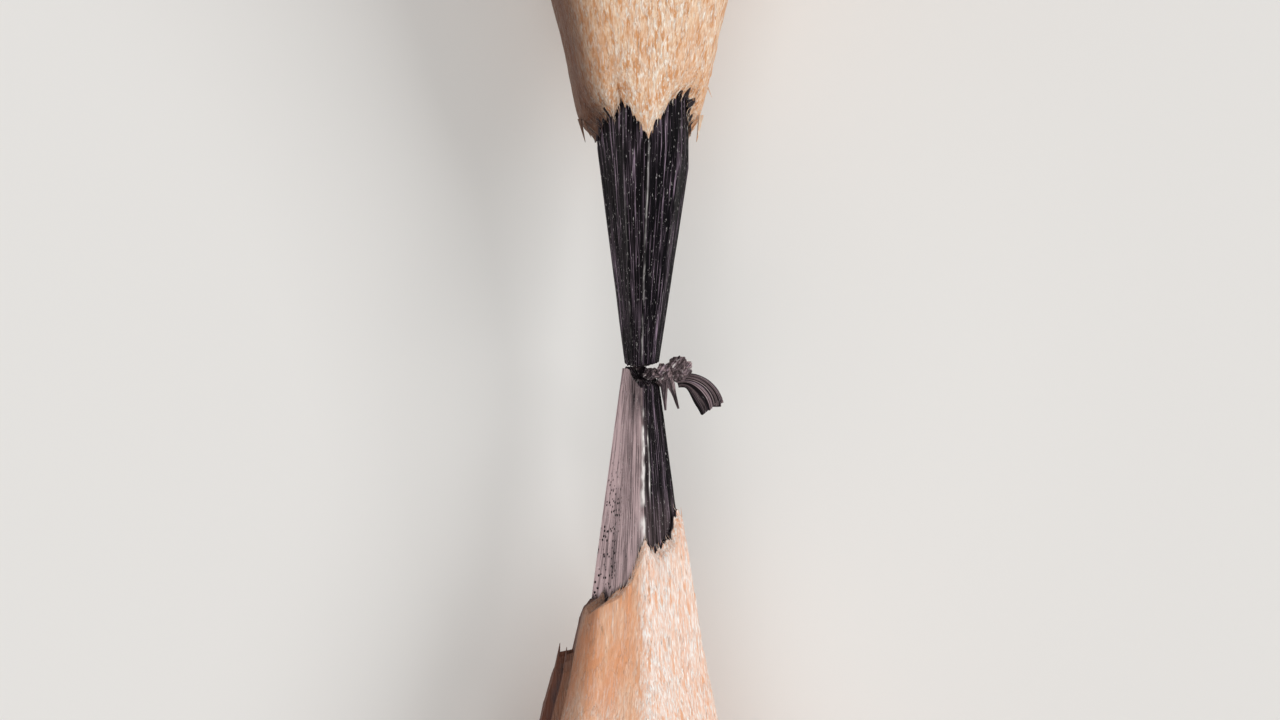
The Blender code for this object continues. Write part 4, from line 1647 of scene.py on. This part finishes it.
@dataclass
class Studio:
    """The pale floor, the soft lamps and the camera, which looks straight down on the break."""

    view_width: float = 30.2
    view_centre: float = 0.28
    lens: float = 100.0
    sensor: float = 36.0
    clip: tuple[float, float] = (0.001, 10.0)
    floor_size: float = 4.0
    floor_drop: float = 2e-5
    floor_colour: Colour = (0.80, 0.79, 0.77, 1.0)
    sky_colour: Colour = (1.0, 0.985, 0.97, 1.0)
    sky_strength: float = 0.42
    lamps: tuple[Softbox, ...] = (
        Softbox("key_softbox", (0.16, -0.72, 0.60), (0.44, 0.44), 4.2),
        Softbox("low_strip", (0.0, 0.84, 0.17), (0.96, 0.20), 1.5),
        Softbox("top_softbox", (-0.40, 0.12, 0.96), (0.80, 0.80), 3.4),
    )

    def build(self) -> None:
        """Builds the floor, the world, the lamps and the camera."""
        self.lay_floor()
        self.light_world()
        for lamp in self.lamps:
            lamp.build()
        self.place_camera()
        bpy.context.scene.view_settings.view_transform = "Standard"

    def lay_floor(self) -> None:
        """A plain pale floor just under the pencil."""
        half = self.floor_size / 2
        mesh = bpy.data.meshes.new("floor")
        corners = np.array([[-half, -half, 0.0], [half, -half, 0.0], [half, half, 0.0], [-half, half, 0.0]])
        mesh.from_pydata(corners - np.array([0.0, 0.0, self.floor_drop]), [], [(0, 1, 2, 3)])
        floor = bpy.data.objects.new("floor", mesh)
        bpy.context.scene.collection.objects.link(floor)
        pale = bpy.data.materials.new("pale_floor")
        pale.use_nodes = True
        shader = pale.node_tree.nodes["Principled BSDF"]
        shader.inputs["Base Color"].default_value = self.floor_colour
        shader.inputs["Roughness"].default_value = 0.8
        mesh.materials.append(pale)

    def light_world(self) -> None:
        """An even pale world."""
        world = bpy.data.worlds.new("soft_room")
        world.use_nodes = True
        sky = world.node_tree.nodes["Background"]
        sky.inputs["Color"].default_value = self.sky_colour
        sky.inputs["Strength"].default_value = self.sky_strength
        bpy.context.scene.world = world

    def place_camera(self) -> None:
        """Looks straight down, with the pencil upright in the picture and its far half at the top."""
        data = bpy.data.cameras.new("camera")
        data.lens = self.lens
        data.sensor_width = self.sensor
        data.clip_start, data.clip_end = self.clip
        height = AXIS_HEIGHT + self.view_width * self.lens / self.sensor
        made = bpy.data.objects.new("camera", data)
        made.location = (self.view_centre * METRES, 0.0, height * METRES)
        made.rotation_euler = (0.0, 0.0, -np.pi / 2)
        bpy.context.scene.collection.objects.link(made)
        bpy.context.scene.camera = made


def main() -> None:
    """Builds both halves, what clings to the break, and the studio."""
    logging.basicConfig(level=logging.INFO, format="%(name)s: %(message)s")
    groups = (grain_group(), relief_group())
    pits = pits_group()
    bare = Cedar("bare_cedar", *groups).material()
    straw = Cedar(
        "straw_cedar", *groups, streak_low=0.49, streak_share=0.95,
        deep=(0.76, 0.390, 0.200, 1.0),
        warm=(0.86, 0.560, 0.350, 1.0),
        pale=(0.92, 0.730, 0.550, 1.0),
        streak=(0.66, 0.300, 0.120, 1.0),
        fibre=(1.00, 0.95, 0.86, 1.0),
    ).material()
    graphite = Graphite("whittled_graphite", *groups, pits).material()
    broken = Graphite("broken_graphite", *groups, pits, roughness=0.48, specks=0.35, depth=1.2e-5).material()
    for half, cedar in ((NEAR, bare), (FAR, straw)):
        Lead(half).build(graphite)
        for side in Side:
            Slat(half, side).build(cedar)
    Debris().build(broken)
    Studio().build()


if __name__ == "__main__":
    main()
